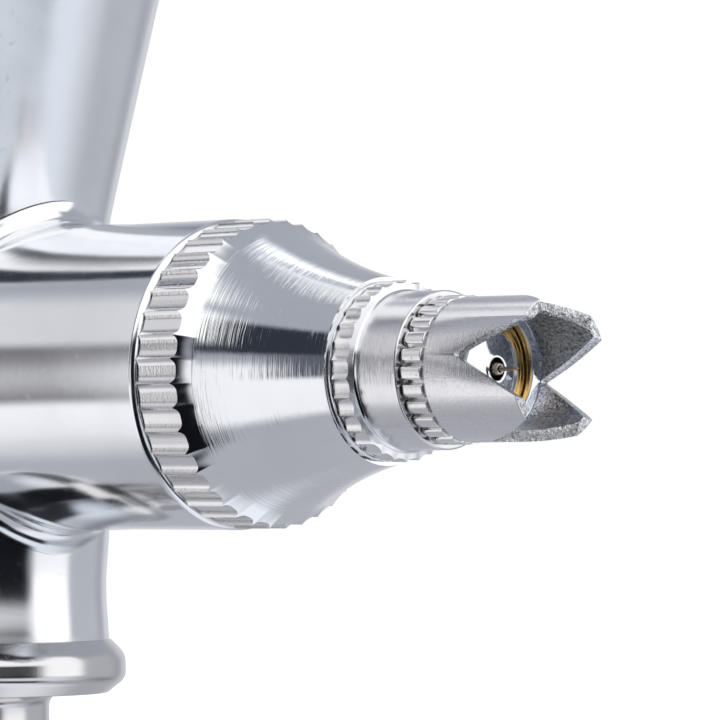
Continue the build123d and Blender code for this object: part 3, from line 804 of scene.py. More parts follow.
class Rule(Graph):
    """A geometry node tree that follows a rule and ends in its finishes."""

    def __init__(self, name: str, inputs: dict[str, float]) -> None:
        """Start the tree.

        Args:
            name: The tree's name.
            inputs: The names of its number inputs and what they start as.
        """
        super().__init__(bpy.data.node_groups.new(name, "GeometryNodeTree"))
        face = self.tree.interface
        face.new_socket("Geometry", in_out="INPUT", socket_type="NodeSocketGeometry")
        face.new_socket("Geometry", in_out="OUTPUT", socket_type="NodeSocketGeometry")
        for label, value in inputs.items():
            socket = face.new_socket(label, in_out="INPUT", socket_type="NodeSocketFloat")
            socket.default_value = value
        self.given = self.tree.nodes.new("NodeGroupInput").outputs

    def attribute(self, name: str) -> object:
        """Read a number that the mesh carries.

        Args:
            name: The attribute's name.

        Returns:
            The output socket.
        """
        return self.node("GeometryNodeInputNamedAttribute", {"Name": name}, data_type="FLOAT").outputs[0]

    def finish(self, geometry: object, materials: Sequence[bpy.types.Material]) -> None:
        """End the tree with real geometry in its finishes.

        Args:
            geometry: What the tree made.
            materials: The finish of each zone.
        """
        geometry = self.node("GeometryNodeRealizeInstances", {0: geometry}).outputs[0]
        if len(materials) > 1:
            zone = self.node("GeometryNodeInputMaterialIndex").outputs[0]
            stored = self.node("GeometryNodeStoreNamedAttribute", {"Geometry": geometry, "Name": "zone"},
                               data_type="INT", domain="FACE")
            self.feed(next(s for s in stored.inputs if s.name == "Value" and s.enabled), zone)
            geometry = stored.outputs[0]
            zone = self.node("GeometryNodeInputNamedAttribute", {"Name": "zone"}, data_type="INT").outputs[0]
        for number, material in enumerate(materials):
            setter = self.node("GeometryNodeSetMaterial", {"Geometry": geometry, "Material": material})
            if len(materials) > 1:
                chosen = self.node("FunctionNodeCompare", data_type="INT", operation="EQUAL")
                self.feed(next(s for s in chosen.inputs if s.name == "A" and s.enabled), zone)
                self.feed(next(s for s in chosen.inputs if s.name == "B" and s.enabled), number)
                self.feed(setter.inputs["Selection"], chosen.outputs[0])
            geometry = setter.outputs[0]
        self.feed(self.tree.nodes.new("NodeGroupOutput").inputs[0], geometry)

    def run(self, piece: bpy.types.Object, values: dict[str, float]) -> bpy.types.Object:
        """Run the tree on a piece and keep the plain mesh.

        Args:
            piece: The object.
            values: What its named inputs are set to.

        Returns:
            The object with no modifier.
        """
        modifier = piece.modifiers.new(self.tree.name, "NODES")
        modifier.node_group = self.tree
        sockets = {item.name: item.identifier for item in self.tree.interface.items_tree
                   if item.item_type == "SOCKET" and item.in_out == "INPUT"}
        for label, value in values.items():
            modifier[sockets[label]] = float(value)
        return settle(piece)


def knurl(piece: bpy.types.Object, teeth: int, depth: float, shape: KnurlShape,
          finishes: Sequence[object], phase: float = 0.0, roundness: float = 2.5) -> bpy.types.Object:
    """Press a ring of teeth into the points of a turned piece that follow a knurl.

    Args:
        piece: The turned piece.
        teeth: How many teeth go round.
        depth: Their depth in millimetres.
        shape: Their section.
        finishes: The finish of each zone of the outline.
        phase: How far the ring is turned, as a share of a tooth.
        roundness: How flat the crests are: 2 is round, more is flatter.

    Returns:
        The piece.
    """
    rule = Rule(f"knurl_{shape.value}_{piece.name}", {"Teeth": 40.0, "Depth": 0.0003, "Axis Height": 0.0,
                                                      "Phase": 0.0, "Roundness": 2.5})
    where = rule.node("ShaderNodeSeparateXYZ", {0: rule.node("GeometryNodeInputPosition").outputs[0]}).outputs
    lift = rule.math("SUBTRACT", where[2], rule.given["Axis Height"])
    turn = rule.math("DIVIDE", rule.math("ARCTAN2", where[1], lift), math.tau)
    count = rule.math("ADD", rule.math("MULTIPLY", turn, rule.given["Teeth"]), rule.given["Phase"])
    tooth = rule.math("FRACT", rule.math("ADD", count, 100.0001))
    side = rule.math("ABSOLUTE", rule.math("SUBTRACT", rule.math("MULTIPLY", tooth, 2.0), 1.0))
    if shape is KnurlShape.FLUTED:
        share = rule.math("SUBTRACT", 1.0, rule.math("POWER", side, rule.given["Roundness"]))
    else:
        groove = rule.ramp(side, 0.66, 0.93)
        swell = rule.math("MULTIPLY", rule.math("POWER", side, 2.0), 0.28)
        share = rule.math("MAXIMUM", groove, swell)
    sunk = rule.math("MULTIPLY", share, rule.given["Depth"])
    radius = rule.math("SQRT", rule.math("ADD", rule.math("MULTIPLY", where[1], where[1]),
                                         rule.math("MULTIPLY", lift, lift)))
    shrunk = rule.math("SUBTRACT", radius, rule.math("MULTIPLY", sunk, rule.attribute("drop")))
    scale = rule.math("DIVIDE", shrunk, rule.math("MAXIMUM", radius, 1e-6))
    slid = rule.math("ADD", where[0], rule.math("MULTIPLY", sunk, rule.attribute("slide")))
    place = rule.node("ShaderNodeCombineXYZ", {
        0: slid, 1: rule.math("MULTIPLY", where[1], scale),
        2: rule.math("ADD", rule.given["Axis Height"], rule.math("MULTIPLY", lift, scale))})
    moved = rule.node("GeometryNodeSetPosition", {"Geometry": rule.given["Geometry"],
                                                  "Position": place.outputs[0]})
    rule.finish(moved.outputs[0], [finish.material() for finish in finishes])
    rule.run(piece, {"Teeth": teeth, "Depth": depth * MM, "Axis Height": NEEDLE_HEIGHT * MM,
                     "Phase": phase, "Roundness": roundness})
    smooth(piece.data, 28)
    return piece


def thread(piece: bpy.types.Object, pitch: float, depth: float,
           finishes: Sequence[object]) -> bpy.types.Object:
    """Cut a thread into the points of an upright turned piece that follow one.

    Args:
        piece: The turned piece; its attribute drop says how deep the thread is at a point.
        pitch: The thread's pitch in millimetres.
        depth: Its depth in millimetres.
        finishes: The finish of each zone of the outline.

    Returns:
        The piece.
    """
    rule = Rule(f"thread_{piece.name}", {"Pitch": 0.0009, "Depth": 0.0005})
    where = rule.node("ShaderNodeSeparateXYZ", {0: rule.node("GeometryNodeInputPosition").outputs[0]}).outputs
    turn = rule.math("DIVIDE", rule.math("ARCTAN2", where[1], where[0]), math.tau)
    rise = rule.math("SUBTRACT", rule.math("DIVIDE", where[2], rule.given["Pitch"]), turn)
    part = rule.math("FRACT", rule.math("ADD", rise, 100.0))
    flank = rule.math("ABSOLUTE", rule.math("SUBTRACT", rule.math("MULTIPLY", part, 2.0), 1.0))
    share = rule.ramp(flank, 0.14, 0.86)
    sunk = rule.math("MULTIPLY", rule.math("MULTIPLY", share, rule.given["Depth"]), rule.attribute("drop"))
    radius = rule.math("SQRT", rule.math("ADD", rule.math("MULTIPLY", where[0], where[0]),
                                         rule.math("MULTIPLY", where[1], where[1])))
    scale = rule.math("DIVIDE", rule.math("SUBTRACT", radius, sunk), rule.math("MAXIMUM", radius, 1e-6))
    place = rule.node("ShaderNodeCombineXYZ", {
        0: rule.math("MULTIPLY", where[0], scale), 1: rule.math("MULTIPLY", where[1], scale), 2: where[2]})
    moved = rule.node("GeometryNodeSetPosition", {"Geometry": rule.given["Geometry"],
                                                  "Position": place.outputs[0]})
    rule.finish(moved.outputs[0], [finish.material() for finish in finishes])
    rule.run(piece, {"Pitch": pitch * MM, "Depth": depth * MM})
    smooth(piece.data, 40)
    return piece


def spring(name: str, start: Vector, end: Vector, radius: float, wire: float, turns: float,
           finish: object) -> bpy.types.Object:
    """Wind a coil spring between two points.

    Args:
        name: The new object's name.
        start: The middle of one end in millimetres.
        end: The middle of the other end.
        radius: The radius of the wire's centre line.
        wire: The wire's own radius.
        turns: How many turns it has.
        finish: Its finish.

    Returns:
        The spring.
    """
    rule = Rule(f"spring_{name}", {"Radius": 0.002, "Wire": 0.0002, "Turns": 8.0, "Length": 0.01})
    coil = rule.node("GeometryNodeCurveSpiral", {
        "Resolution": 40, "Rotations": rule.given["Turns"], "Start Radius": rule.given["Radius"],
        "End Radius": rule.given["Radius"], "Height": rule.given["Length"]})
    section = rule.node("GeometryNodeCurvePrimitiveCircle", {"Resolution": 12, "Radius": rule.given["Wire"]})
    wound = rule.node("GeometryNodeCurveToMesh", {
        "Curve": coil.outputs[0], "Profile Curve": section.outputs[0], "Fill Caps": True})
    turn = (end - start).to_track_quat("Z", "Y").to_euler()
    laid = rule.node("GeometryNodeTransform", {"Geometry": wound.outputs[0], "Translation": start * MM,
                                               "Rotation": turn})
    rule.finish(laid.outputs[0], [finish.material()])
    piece = new_object(name, bpy.data.meshes.new(name))
    rule.run(piece, {"Radius": radius * MM, "Wire": wire * MM, "Turns": turns,
                     "Length": (end - start).length * MM})
    smooth(piece.data, 50)
    return piece


def shorten(coil: bpy.types.Object) -> None:
    """Give a spring its own copy of its mesh.

    Args:
        coil: The spring.
    """
    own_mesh(coil)


# ------------------------------------------------------------ sub-assemblies
class Assembly:
    """A group of pieces that is built, dressed and hung on the frame together."""

    title = "assembly"

    def hang(self, piece: bpy.types.Object, body: str, slot: str, nodes: Sequence[str],
             finishes: Sequence[object] = ()) -> None:
        """Dress a piece, let it ride on its body and report it.

        Args:
            piece: The object.
            body: The body that it moves with.
            slot: A material slot's name; it is not used.
            nodes: The CAD nodes that it stands for.
            finishes: The finish of each zone, where the piece has none yet.
        """
        if finishes:
            piece.data.materials.clear()
            for finish in finishes:
                piece.data.materials.append(finish.material())
        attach(piece, body)
        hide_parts(*nodes)
        LOG.info("%s: %s, %d faces, rides on %s", self.title, piece.name, len(piece.data.polygons), body)

    def dress(self, node: str, finish: object) -> None:
        """Give a CAD node that stays its finish.

        Args:
            node: The node.
            finish: Its finish.
        """
        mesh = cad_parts[node].data
        mesh.materials.clear()
        mesh.materials.append(finish.material())
        LOG.info("%s: %s keeps its CAD shape", self.title, node)


@dataclass
class GunBody(Assembly):
    """The drilled barrel with its boss, and the cup that is soldered on it."""

    title = "gun body"
    barrel_r: float = 6.25
    tube_r: float = 6.55
    cup_narrowing: float = 0.15
    waist_depth: float = 0.15
    cup_slope: float = 0.2222
    cup_wall: float = 0.82
    solder_r: float = 1.1
    solder_steps: int = 10
    columns: int = 192
    side_columns: int = 6
    bore_r: float = 4.5
    tail_thread_r: float = 5.4
    tail_step: float = 6.0
    slot_half_width: float = 2.4
    socket_r: float = 4.2
    passage_r: float = 2.0
    packing_r: float = 2.2
    packing_screw_r: float = 2.5
    well_r: float = 4.9
    stem_r: float = 3.2
    pivot_r: float = 1.0
    pivot_seat_r: float = 1.7
    floor_height: float = 6.2
    floor_hole_r: float = 2.0

    def tube_radius(self, height: float) -> float:
        """Give the upright tube's radius: a waisted boss below, a widening cup above.

        Args:
            height: The height above the needle axis.

        Returns:
            The radius.
        """
        above = height - self.barrel_r
        widening = self.cup_slope * (math.sqrt(above * above + 0.25) + above) / 2
        waist = self.waist_depth * math.exp(-((height + 8.7) / 1.7) ** 2)
        above_axis = min(1.0, max(0.0, (height + 2.0) / 4.0))
        narrowing = self.cup_narrowing * above_axis * above_axis * (3 - 2 * above_axis)
        return self.tube_r + widening - waist - narrowing

    def ball(self, turn: float) -> tuple[Vector, Vector, Vector]:
        """Give where a ball that rolls in the corner of barrel and tube touches them.

        Args:
            turn: The angle round the barrel from straight up.

        Returns:
            The ball's centre, its touch on the barrel and its touch on the tube, about the needle axis.
        """
        reach = self.barrel_r + self.solder_r
        y, z = reach * math.sin(turn), reach * math.cos(turn)
        tube = self.tube_radius(z)
        x = math.sqrt(max((tube + self.solder_r) ** 2 - y * y, 0.01))
        centre = Vector((x, y, z))
        on_barrel = Vector((x, self.barrel_r * math.sin(turn), self.barrel_r * math.cos(turn)))
        share = tube / (tube + self.solder_r)
        return centre, on_barrel, Vector((x * share, y * share, z))

    def world(self, point: Vector, side: int) -> Vector:
        """Bring a point about the needle axis into the gun's frame, in metres.

        Args:
            point: The point in millimetres.
            side: 1 for the nose side, -1 for the handle side.

        Returns:
            The point.
        """
        return Vector((point.x * side, point.y, point.z + NEEDLE_HEIGHT)) * MM

    def ordered_loop(self, upper: bool) -> list[tuple[float, float]]:
        """Go once round the tube along the solder's upper or lower edge.

        Args:
            upper: Whether the edge above the needle is followed.

        Returns:
            The angle and height of each point, from the least angle.
        """
        quarter = self.columns // 4
        found: list[tuple[float, float]] = []
        for side in (1, -1):
            for step in range(-quarter, quarter + 1):
                turn = math.tau * step / self.columns + (0 if upper else math.pi)
                touch = self.ball(turn)[2]
                height = 0.0 if abs(step) == quarter else touch.z
                found.append((math.atan2(touch.y, touch.x * side) % math.tau, height))
        widest = math.atan2(self.ball(math.pi / 2)[2].y, self.ball(math.pi / 2)[2].x)
        for first in (widest, math.pi + widest):
            gap = math.pi - 2 * widest
            for step in range(1, self.side_columns):
                found.append(((first + gap * step / self.side_columns) % math.tau, 0.0))
        return sorted(found)

    def barrel(self) -> bpy.types.Object:
        """Build the barrel with its boss and soldered corners, and drill it.

        Returns:
            The barrel.
        """
        front = high("barrel").x
        tail = low("barrel").x
        shoulder = tail + self.tail_step
        bottom = low("barrel").z - NEEDLE_HEIGHT
        build = bmesh.new()
        turns = [math.tau * step / self.columns for step in range(self.columns)]

        for side in (1, -1):
            strips = []
            for turn in turns:
                centre, on_barrel, on_tube = self.ball(turn)
                down, inward = on_barrel - centre, on_tube - centre
                row = []
                for step in range(self.solder_steps + 1):
                    aim = down.slerp(inward, step / self.solder_steps)
                    row.append(build.verts.new(self.world(centre + aim, side)))
                strips.append(row)
            for step in range(self.solder_steps):
                bridge(build, [row[step] for row in strips], [row[step + 1] for row in strips])
            ring = [row[0] for row in strips]
            full, thread_r = self.barrel_r, self.tail_thread_r
            if side == 1:
                ends = [(front - 0.26, full), (front - 0.2, full), (front - 0.17, full - 0.01),
                        (front - 0.02, full - 0.16), (front, full - 0.22)]
            else:
                ends = [(shoulder + 0.2, full), (shoulder + 0.12, full), (shoulder, full - 0.12),
                        (shoulder, thread_r), (tail + 0.3, thread_r), (tail, thread_r - 0.3)]
            for share in (0.35, 0.7):
                fresh = []
                for turn in turns:
                    start = self.ball(turn)[1].x * side
                    x = start + (ends[0][0] - start) * share
                    fresh.append(build.verts.new(placed(Spin.NEEDLE, x, full, turn)))
                bridge(build, ring, fresh)
                ring = fresh
            for x, radius in ends:
                fresh = [build.verts.new(placed(Spin.NEEDLE, x, radius, turn)) for turn in turns]
                bridge(build, ring, fresh)
                ring = fresh
            middle = build.verts.new(placed(Spin.NEEDLE, ends[-1][0], 0, 0))
            fan(build, ring, middle)
        lower = self.ordered_loop(False)
        ring = None
        for step in range(13):
            fresh = []
            for turn, top in lower:
                height = top + (bottom - top) * step / 12
                out = self.tube_radius(height)
                fresh.append(build.verts.new(placed(Spin.VALVE, NEEDLE_HEIGHT + height, out, turn)))
            if ring:
                bridge(build, ring, fresh)
            ring = fresh
        middle = build.verts.new(Vector((0, 0, NEEDLE_HEIGHT + bottom)) * MM)
        fan(build, ring, middle)
        upper = [build.verts.new(placed(Spin.VALVE, NEEDLE_HEIGHT + height, self.tube_radius(height), turn))
                 for turn, height in self.ordered_loop(True)]
        middle = build.verts.new(Vector((0, 0, NEEDLE_HEIGHT + 3)) * MM)
        fan(build, upper, middle)
        bmesh.ops.remove_doubles(build, verts=build.verts, dist=4e-6)
        bmesh.ops.recalc_face_normals(build, faces=build.faces)
        mesh = meshed(build, "gun_barrel")
        smooth(mesh)
        return self.drilled(new_object("gun_barrel", mesh))

    def drilled(self, barrel: bpy.types.Object) -> bpy.types.Object:
        """Cut the bores and the trigger's slots out of the barrel.

        Args:
            barrel: The solid barrel.

        Returns:
            The barrel.
        """
        front, tail = high("barrel").x, low("barrel").x
        seal, packing = low("head_seal").x, high("needle_packing").x
        pivot = (low("trigger_screw").x + high("trigger_screw").x) / 2
        pivot_z = (low("trigger_screw").z + high("trigger_screw").z) / 2
        shoulder = high("valve_gasket").z
        screw_start, packing_start = low("packing_screw").x, low("needle_packing").x
        bore = turned("bore", [
            Corner(tail - 1, 0), Corner(tail - 1, self.bore_r), Corner(screw_start, self.bore_r),
            Corner(screw_start, self.packing_screw_r), Corner(packing_start, self.packing_screw_r),
            Corner(packing_start, self.packing_r), Corner(packing, self.packing_r),
            Corner(packing, self.passage_r), Corner(seal, self.passage_r), Corner(seal, self.socket_r),
            Corner(front + 1, self.socket_r), Corner(front + 1, 0)], segments=96)
        bottom, well_top = low("barrel").z - 1, NEEDLE_HEIGHT - 5.7
        well = turned("well", [
            Corner(bottom, 0), Corner(bottom, self.well_r), Corner(shoulder, self.well_r),
            Corner(shoulder, self.stem_r), Corner(well_top, self.stem_r), Corner(well_top, 0)],
                   Spin.VALVE, 96)
        half = self.slot_half_width
        pocket = box("pocket", (pivot - 2.0, -half, NEEDLE_HEIGHT - 8),
                     (pivot + 2.0, half, NEEDLE_HEIGHT + 5.1))
        foot = box("foot", (pivot, -half, shoulder), (3.0, half, NEEDLE_HEIGHT - 4.0))
        swing = box("swing", (pivot - 5.6, -half, NEEDLE_HEIGHT - 8), (pivot, half, NEEDLE_HEIGHT))
        across, up = Vector((1, 0, 0)), Vector((0, 0, 1))
        crossing = prism("crossing", circle(self.pivot_r, 40), Vector((pivot, 0, pivot_z)), across, up, 16)
        seat = prism("seat", circle(self.pivot_seat_r, 48), Vector((pivot, -5.9, pivot_z)), across, up, 4)
        return cut(barrel, (bore, well, pocket, foot, swing, crossing, seat))

    def cup(self) -> bpy.types.Object:
        """Build the paint cup down to its soldered edge.

        Returns:
            The cup.
        """
        rim = high("cup").z - NEEDLE_HEIGHT
        rim_r = high("cup").y
        cone_top = self.barrel_r + (rim_r - self.tube_r + self.cup_narrowing) / self.cup_slope
        wall = self.cup_wall
        loop = self.ordered_loop(True)
        build = bmesh.new()
        rings = []
        for step in range(25):
            share = (step / 24) ** 1.3
            ring = []
            for turn, start in loop:
                height = start + (cone_top - 0.4 - start) * share
                out = self.tube_radius(height)
                ring.append(build.verts.new(placed(Spin.VALVE, NEEDLE_HEIGHT + height, out, turn)))
            rings.append(ring)
        profile = [(rim_r - 0.03, cone_top - 0.1), (rim_r, cone_top + 0.4), (rim_r, rim - 0.3)]
        lip = [math.pi * step / 8 for step in range(1, 9)]
        profile += [(rim_r - wall / 2 + wall / 2 * math.cos(turn), rim - 0.3 + 0.3 * math.sin(turn))
                    for turn in lip]
        floor = self.barrel_r + self.floor_height
        profile += [(rim_r - wall, cone_top + 0.3), (rim_r - wall - 0.03, cone_top - 0.2)]
        for step in range(1, 11):
            height = cone_top - 0.3 + (floor - cone_top + 0.3) * step / 10
            profile.append((self.tube_radius(height) - wall, height))
        neck = self.barrel_r + 2.0
        hole, widest = self.floor_hole_r, self.tube_radius(floor)
        for step in range(1, 7):
            share = step / 6
            out = widest - wall + (hole + wall - widest) * share ** 0.85
            profile.append((out, floor + (neck - floor) * share))
        profile += [(hole, neck - 0.3), (hole, 4.0)]
        for out, height in profile:
            rings.append([build.verts.new(placed(Spin.VALVE, NEEDLE_HEIGHT + height, out, turn))
                          for turn, _ in loop])
        for index, ring in enumerate(rings):
            bridge(build, ring, rings[(index + 1) % len(rings)])
        closed_up(build)
        mesh = meshed(build, "paint_cup")
        smooth(mesh, 40)
        return new_object("paint_cup", mesh)

    def lid(self) -> bpy.types.Object:
        """Turn the pushed-on lid with its grip and vent.

        Returns:
            The lid.
        """
        top = high("cup_lid").z
        seat = high("cup").z
        edge = high("cup_lid").y
        skirt = high("cup").y - self.cup_wall - 0.3
        return turned("lid_disc", [
            Corner(seat, 0.5), Corner(seat, skirt - 0.7), Corner(low("cup_lid").z, skirt - 0.7, 0.15),
            Corner(low("cup_lid").z, skirt, 0.2), Corner(seat, skirt, 0.1), Corner(seat, edge, 0.3),
            Corner(seat + 1.0, edge, 0.45), Corner(seat + 0.75, edge - 3.2, 0.8),
            Corner(seat + 0.75, 4.2, 0.8),
            Corner(seat + 1.1, 2.5, 0.3), Corner(seat + 1.6, 1.6, 0.4), Corner(top - 0.9, 1.7, 0.3),
            Corner(top - 0.5, 2.2, 0.25), Corner(top, 2.1, 0.3), Corner(top, 0.5, 0.15)], Spin.VALVE, 160)

    def build(self) -> None:
        """Build and hang the body's pieces."""
        self.hang(self.barrel(), "root", "chrome_body", ["barrel"], [POLISHED_BODY])
        self.hang(self.cup(), "root", "chrome_cup", ["cup"], [POLISHED_CUP])
        self.hang(self.lid(), "lid", "chrome_cup", ["cup_lid"], [POLISHED_CUP])


@dataclass
class SprayHead(Assembly):
    """The knurled head, the nozzle with its cap, and the notched needle cap."""

    title = "spray head"
    head_teeth: int = 40
    bell_r: float = 5.66
    bell_slope: float = 0.56
    bell_run: float = 6.0
    bell_steps: int = 22
    head_depth: float = 0.19
    head_phase: float = 0.5
    head_roundness: float = 3.6
    cap_teeth: int = 30
    cap_depth: float = 0.12
    crown_lobes: int = 25
    crown_depth: float = 0.34
    crown_shift: float = 0.16
    crown_bore: float = 2.37
    notch_half_width: float = 1.556
    notch_turn: float = 10.5

    def bell(self, start: float, end: float, zone: int) -> list[Corner]:
        """Lay out the head's nose, which falls away fast at first and slowly at its end.

        Args:
            start: Where it begins along the axis.
            end: Where it ends.
            zone: The zone of its finish.

        Returns:
            The corners of its outline.
        """
        corners = []
        for step in range(self.bell_steps + 1):
            along = (end - start) * step / self.bell_steps
            out = self.bell_r - self.bell_slope * self.bell_run * (1 - math.exp(-along / self.bell_run))
            corners.append(Corner(start + along, out, 0.0, 0, 0, zone))
        return corners

    def head(self) -> bpy.types.Object:
        """Turn and knurl the head.

        Returns:
            The head.
        """
        rear, nose = low("head").x, high("head").x
        face = high("barrel").x
        ring_r = high("head").y
        cone_end = low("nozzle_cap").x
        piece = turned("spray_head", [
            Corner(rear, 1.2), Corner(rear, 4.18, 0.1), Corner(face, 4.18), Corner(face, 5.62),
            Corner(face + 0.05, 5.66), Corner(face + 0.05, ring_r - 0.35, 0.0, 0, 0, 1),
            Corner(face + 0.07, ring_r, 0.02, 1, 0, 1), Corner(face + 1.93, ring_r, 0.0, 1, 1.0, 1),
            Corner(face + 1.935, ring_r - 0.004, 0.0, 1, 1.0, 2),
            *self.bell(face + 2.6, cone_end, 3),
            Corner(cone_end + 0.01, 3.38, 0.0, 0, 0, 0), Corner(cone_end, 2.5), Corner(nose, 2.5, 0.1),
            Corner(nose, 1.5), Corner(24.2, 1.5), Corner(24.2, 1.2)], segments=self.head_teeth * 14)
        return knurl(piece, self.head_teeth, self.head_depth, KnurlShape.FLUTED,
                     [POLISHED, KNURLED, POLISHED, TURNED_CONE], self.head_phase, self.head_roundness)

    def nozzle_cap(self) -> bpy.types.Object:
        """Turn and knurl the nozzle cap, with the bare brass of its threaded end.

        Returns:
            The cap.
        """
        rear = low("nozzle_cap").x
        ring_r = high("nozzle_cap").y
        step = low("needle_cap").x + self.crown_shift
        jet = high("nozzle_cap").x
        face = jet - 0.35
        piece = turned("air_cap", [
            Corner(rear, 2.52), Corner(rear, ring_r - 0.07, 0.0), Corner(rear + 0.06, ring_r - 0.01, 0.02),
            Corner(rear + 0.13, ring_r - 0.02, 0.02), Corner(rear + 0.15, ring_r - 0.2, 0.0, 0, 0, 1),
            Corner(rear + 0.20, ring_r - 0.21, 0.0, 0, 0, 1), Corner(rear + 0.22, ring_r, 0.02, 1, 0, 1),
            Corner(rear + 1.00, ring_r, 0.0, 1, 0.2, 0), Corner(rear + 1.05, 3.18, 0.03),
            Corner(rear + 1.14, 3.12, 0.01, 0, 0, 2), Corner(step - 0.01, 3.10, 0.07, 0, 0, 2),
            Corner(step - 0.01, 2.35, 0.0, 0, 0, 3), Corner(step, 2.30, 0.0, 0, 0, 3),
            Corner(face, 2.30, 0.06, 0, 0, 3), Corner(face, 2.13, 0.03, 0, 0, 3),
            Corner(face - 0.12, 2.08, 0, 0, 0, 3),
            Corner(face - 0.12, 2.01, 0, 0, 0, 3), Corner(face + 0.02, 1.96, 0.04, 0, 0, 3),
            Corner(face + 0.02, 1.78, 0.04, 0, 0, 3), Corner(face - 0.08, 1.70, 0, 0, 0, 3),
            Corner(face - 0.04, 1.60, 0.0, 0, 0, 0), Corner(face + 0.10, 1.52, 0.06),
            Corner(jet - 0.03, 0.62, 1.6),
            Corner(jet, 0.55, 0.03), Corner(jet, 0.44, 0.03, 0, 0, 4), Corner(jet - 0.45, 0.42, 0, 0, 0, 4),
            Corner(28.4, 2.0), Corner(27.0, 2.0), Corner(27.0, 2.52)], segments=self.cap_teeth * 14)
        # Zone 4, the jet's bore, is painted near-black as shadow in the hole.
        return knurl(piece, self.cap_teeth, self.cap_depth, KnurlShape.FLUTED,
                     [POLISHED, KNURLED, SATIN_CAP, BRASS, PAINTED_HOLE_SHADOW])

    def needle_cap(self) -> bpy.types.Object:
        """Turn, knurl and notch the cap that guards the needle's tip.

        Returns:
            The cap.
        """
        rear, tip = low("needle_cap").x + self.crown_shift, high("needle_cap").x
        ring_r = high("needle_cap").y
        tube_r = ring_r - 0.09
        bore = self.crown_bore
        piece = turned("crown", [
            Corner(rear, 2.34), Corner(rear, ring_r - 0.36, 0, 0, 0, 1),
            Corner(rear + 0.02, ring_r - 0.35, 0, 0, 0, 1),
            Corner(rear + 0.08, ring_r, 0.06, 1, -0.1, 1), Corner(rear + 1.06, ring_r, 0.04, 1, 0.1, 1),
            Corner(rear + 1.10, ring_r - 0.33, 0, 0, 0, 1), Corner(rear + 1.15, ring_r - 0.33, 0, 0, 0, 1),
            Corner(rear + 1.19, tube_r + 0.01, 0.02, 0, 0, 0), Corner(tip, tube_r - 0.01, 0.03, 0, 0, 2),
            Corner(tip, bore, 0.02, 0, 0, 3), Corner(30.52, bore, 0, 0, 0, 3),
            Corner(30.50, bore + 0.03, 0, 0, 0, 3),
            Corner(30.44, bore + 0.03, 0, 0, 0, 4), Corner(30.42, bore - 0.03, 0.02, 0, 0, 4),
            Corner(30.355, bore - 0.31, 0.02, 0, 0, 4),
            Corner(29.97, bore - 0.31, 0, 0, 0, 4)], segments=self.crown_lobes * 16)
        # Zone 3, the bore wall, carries painted shade in its darker tint.
        knurl(piece, self.crown_lobes, self.crown_depth, KnurlShape.LOBED,
              [SATIN_CROWN, KNURLED, SAWN, DULL_SHADED_BORE, BRIGHT_BORE])
        apex = 30.5
        run = tip + 0.6 - apex
        half = self.notch_half_width * run / (tip - apex)
        cutters = []
        for turn in (self.notch_turn, self.notch_turn + 90):
            angle = math.radians(turn)
            sideways = Vector((0, math.sin(angle), math.cos(angle)))
            wedge = prism("wedge", [(0, 0.035), (0, -0.035), (run, -half), (run, half)],
                          Vector((apex, 0, NEEDLE_HEIGHT)), Vector((1, 0, 0)), sideways, 8)
            wedge.data.materials.append(SAWN.material())
            cutters.append(wedge)
        cut(piece, cutters)
        return eased(piece, 0.035, 40)

    def nozzle(self) -> bpy.types.Object:
        """Turn the nozzle.

        Returns:
            The nozzle.
        """
        rear, tip = low("nozzle").x, high("nozzle").x
        return turned("nozzle_cone", [
            Corner(rear, 0.75), Corner(rear, 1.48), Corner(26.9, 1.48), Corner(26.9, 1.6, 0.05),
            Corner(27.4, 1.6, 0.05), Corner(27.4, 1.2), Corner(tip, 0.21, 0.02), Corner(tip, 0.14, 0.02),
            Corner(tip - 0.3, 0.14), Corner(27.3, 0.75)], segments=64)

    def build(self) -> None:
        """Build and hang the head's pieces."""
        self.hang(self.head(), "root", "chrome_turned", ["head"])
        self.hang(self.nozzle_cap(), "root", "chrome_turned", ["nozzle_cap"])
        self.hang(self.needle_cap(), "root", "chrome_turned", ["needle_cap"])
        self.hang(self.nozzle(), "root", "brass", ["nozzle"], [NOZZLE_METAL])
        self.dress("head_seal", WHITE_SEAL)


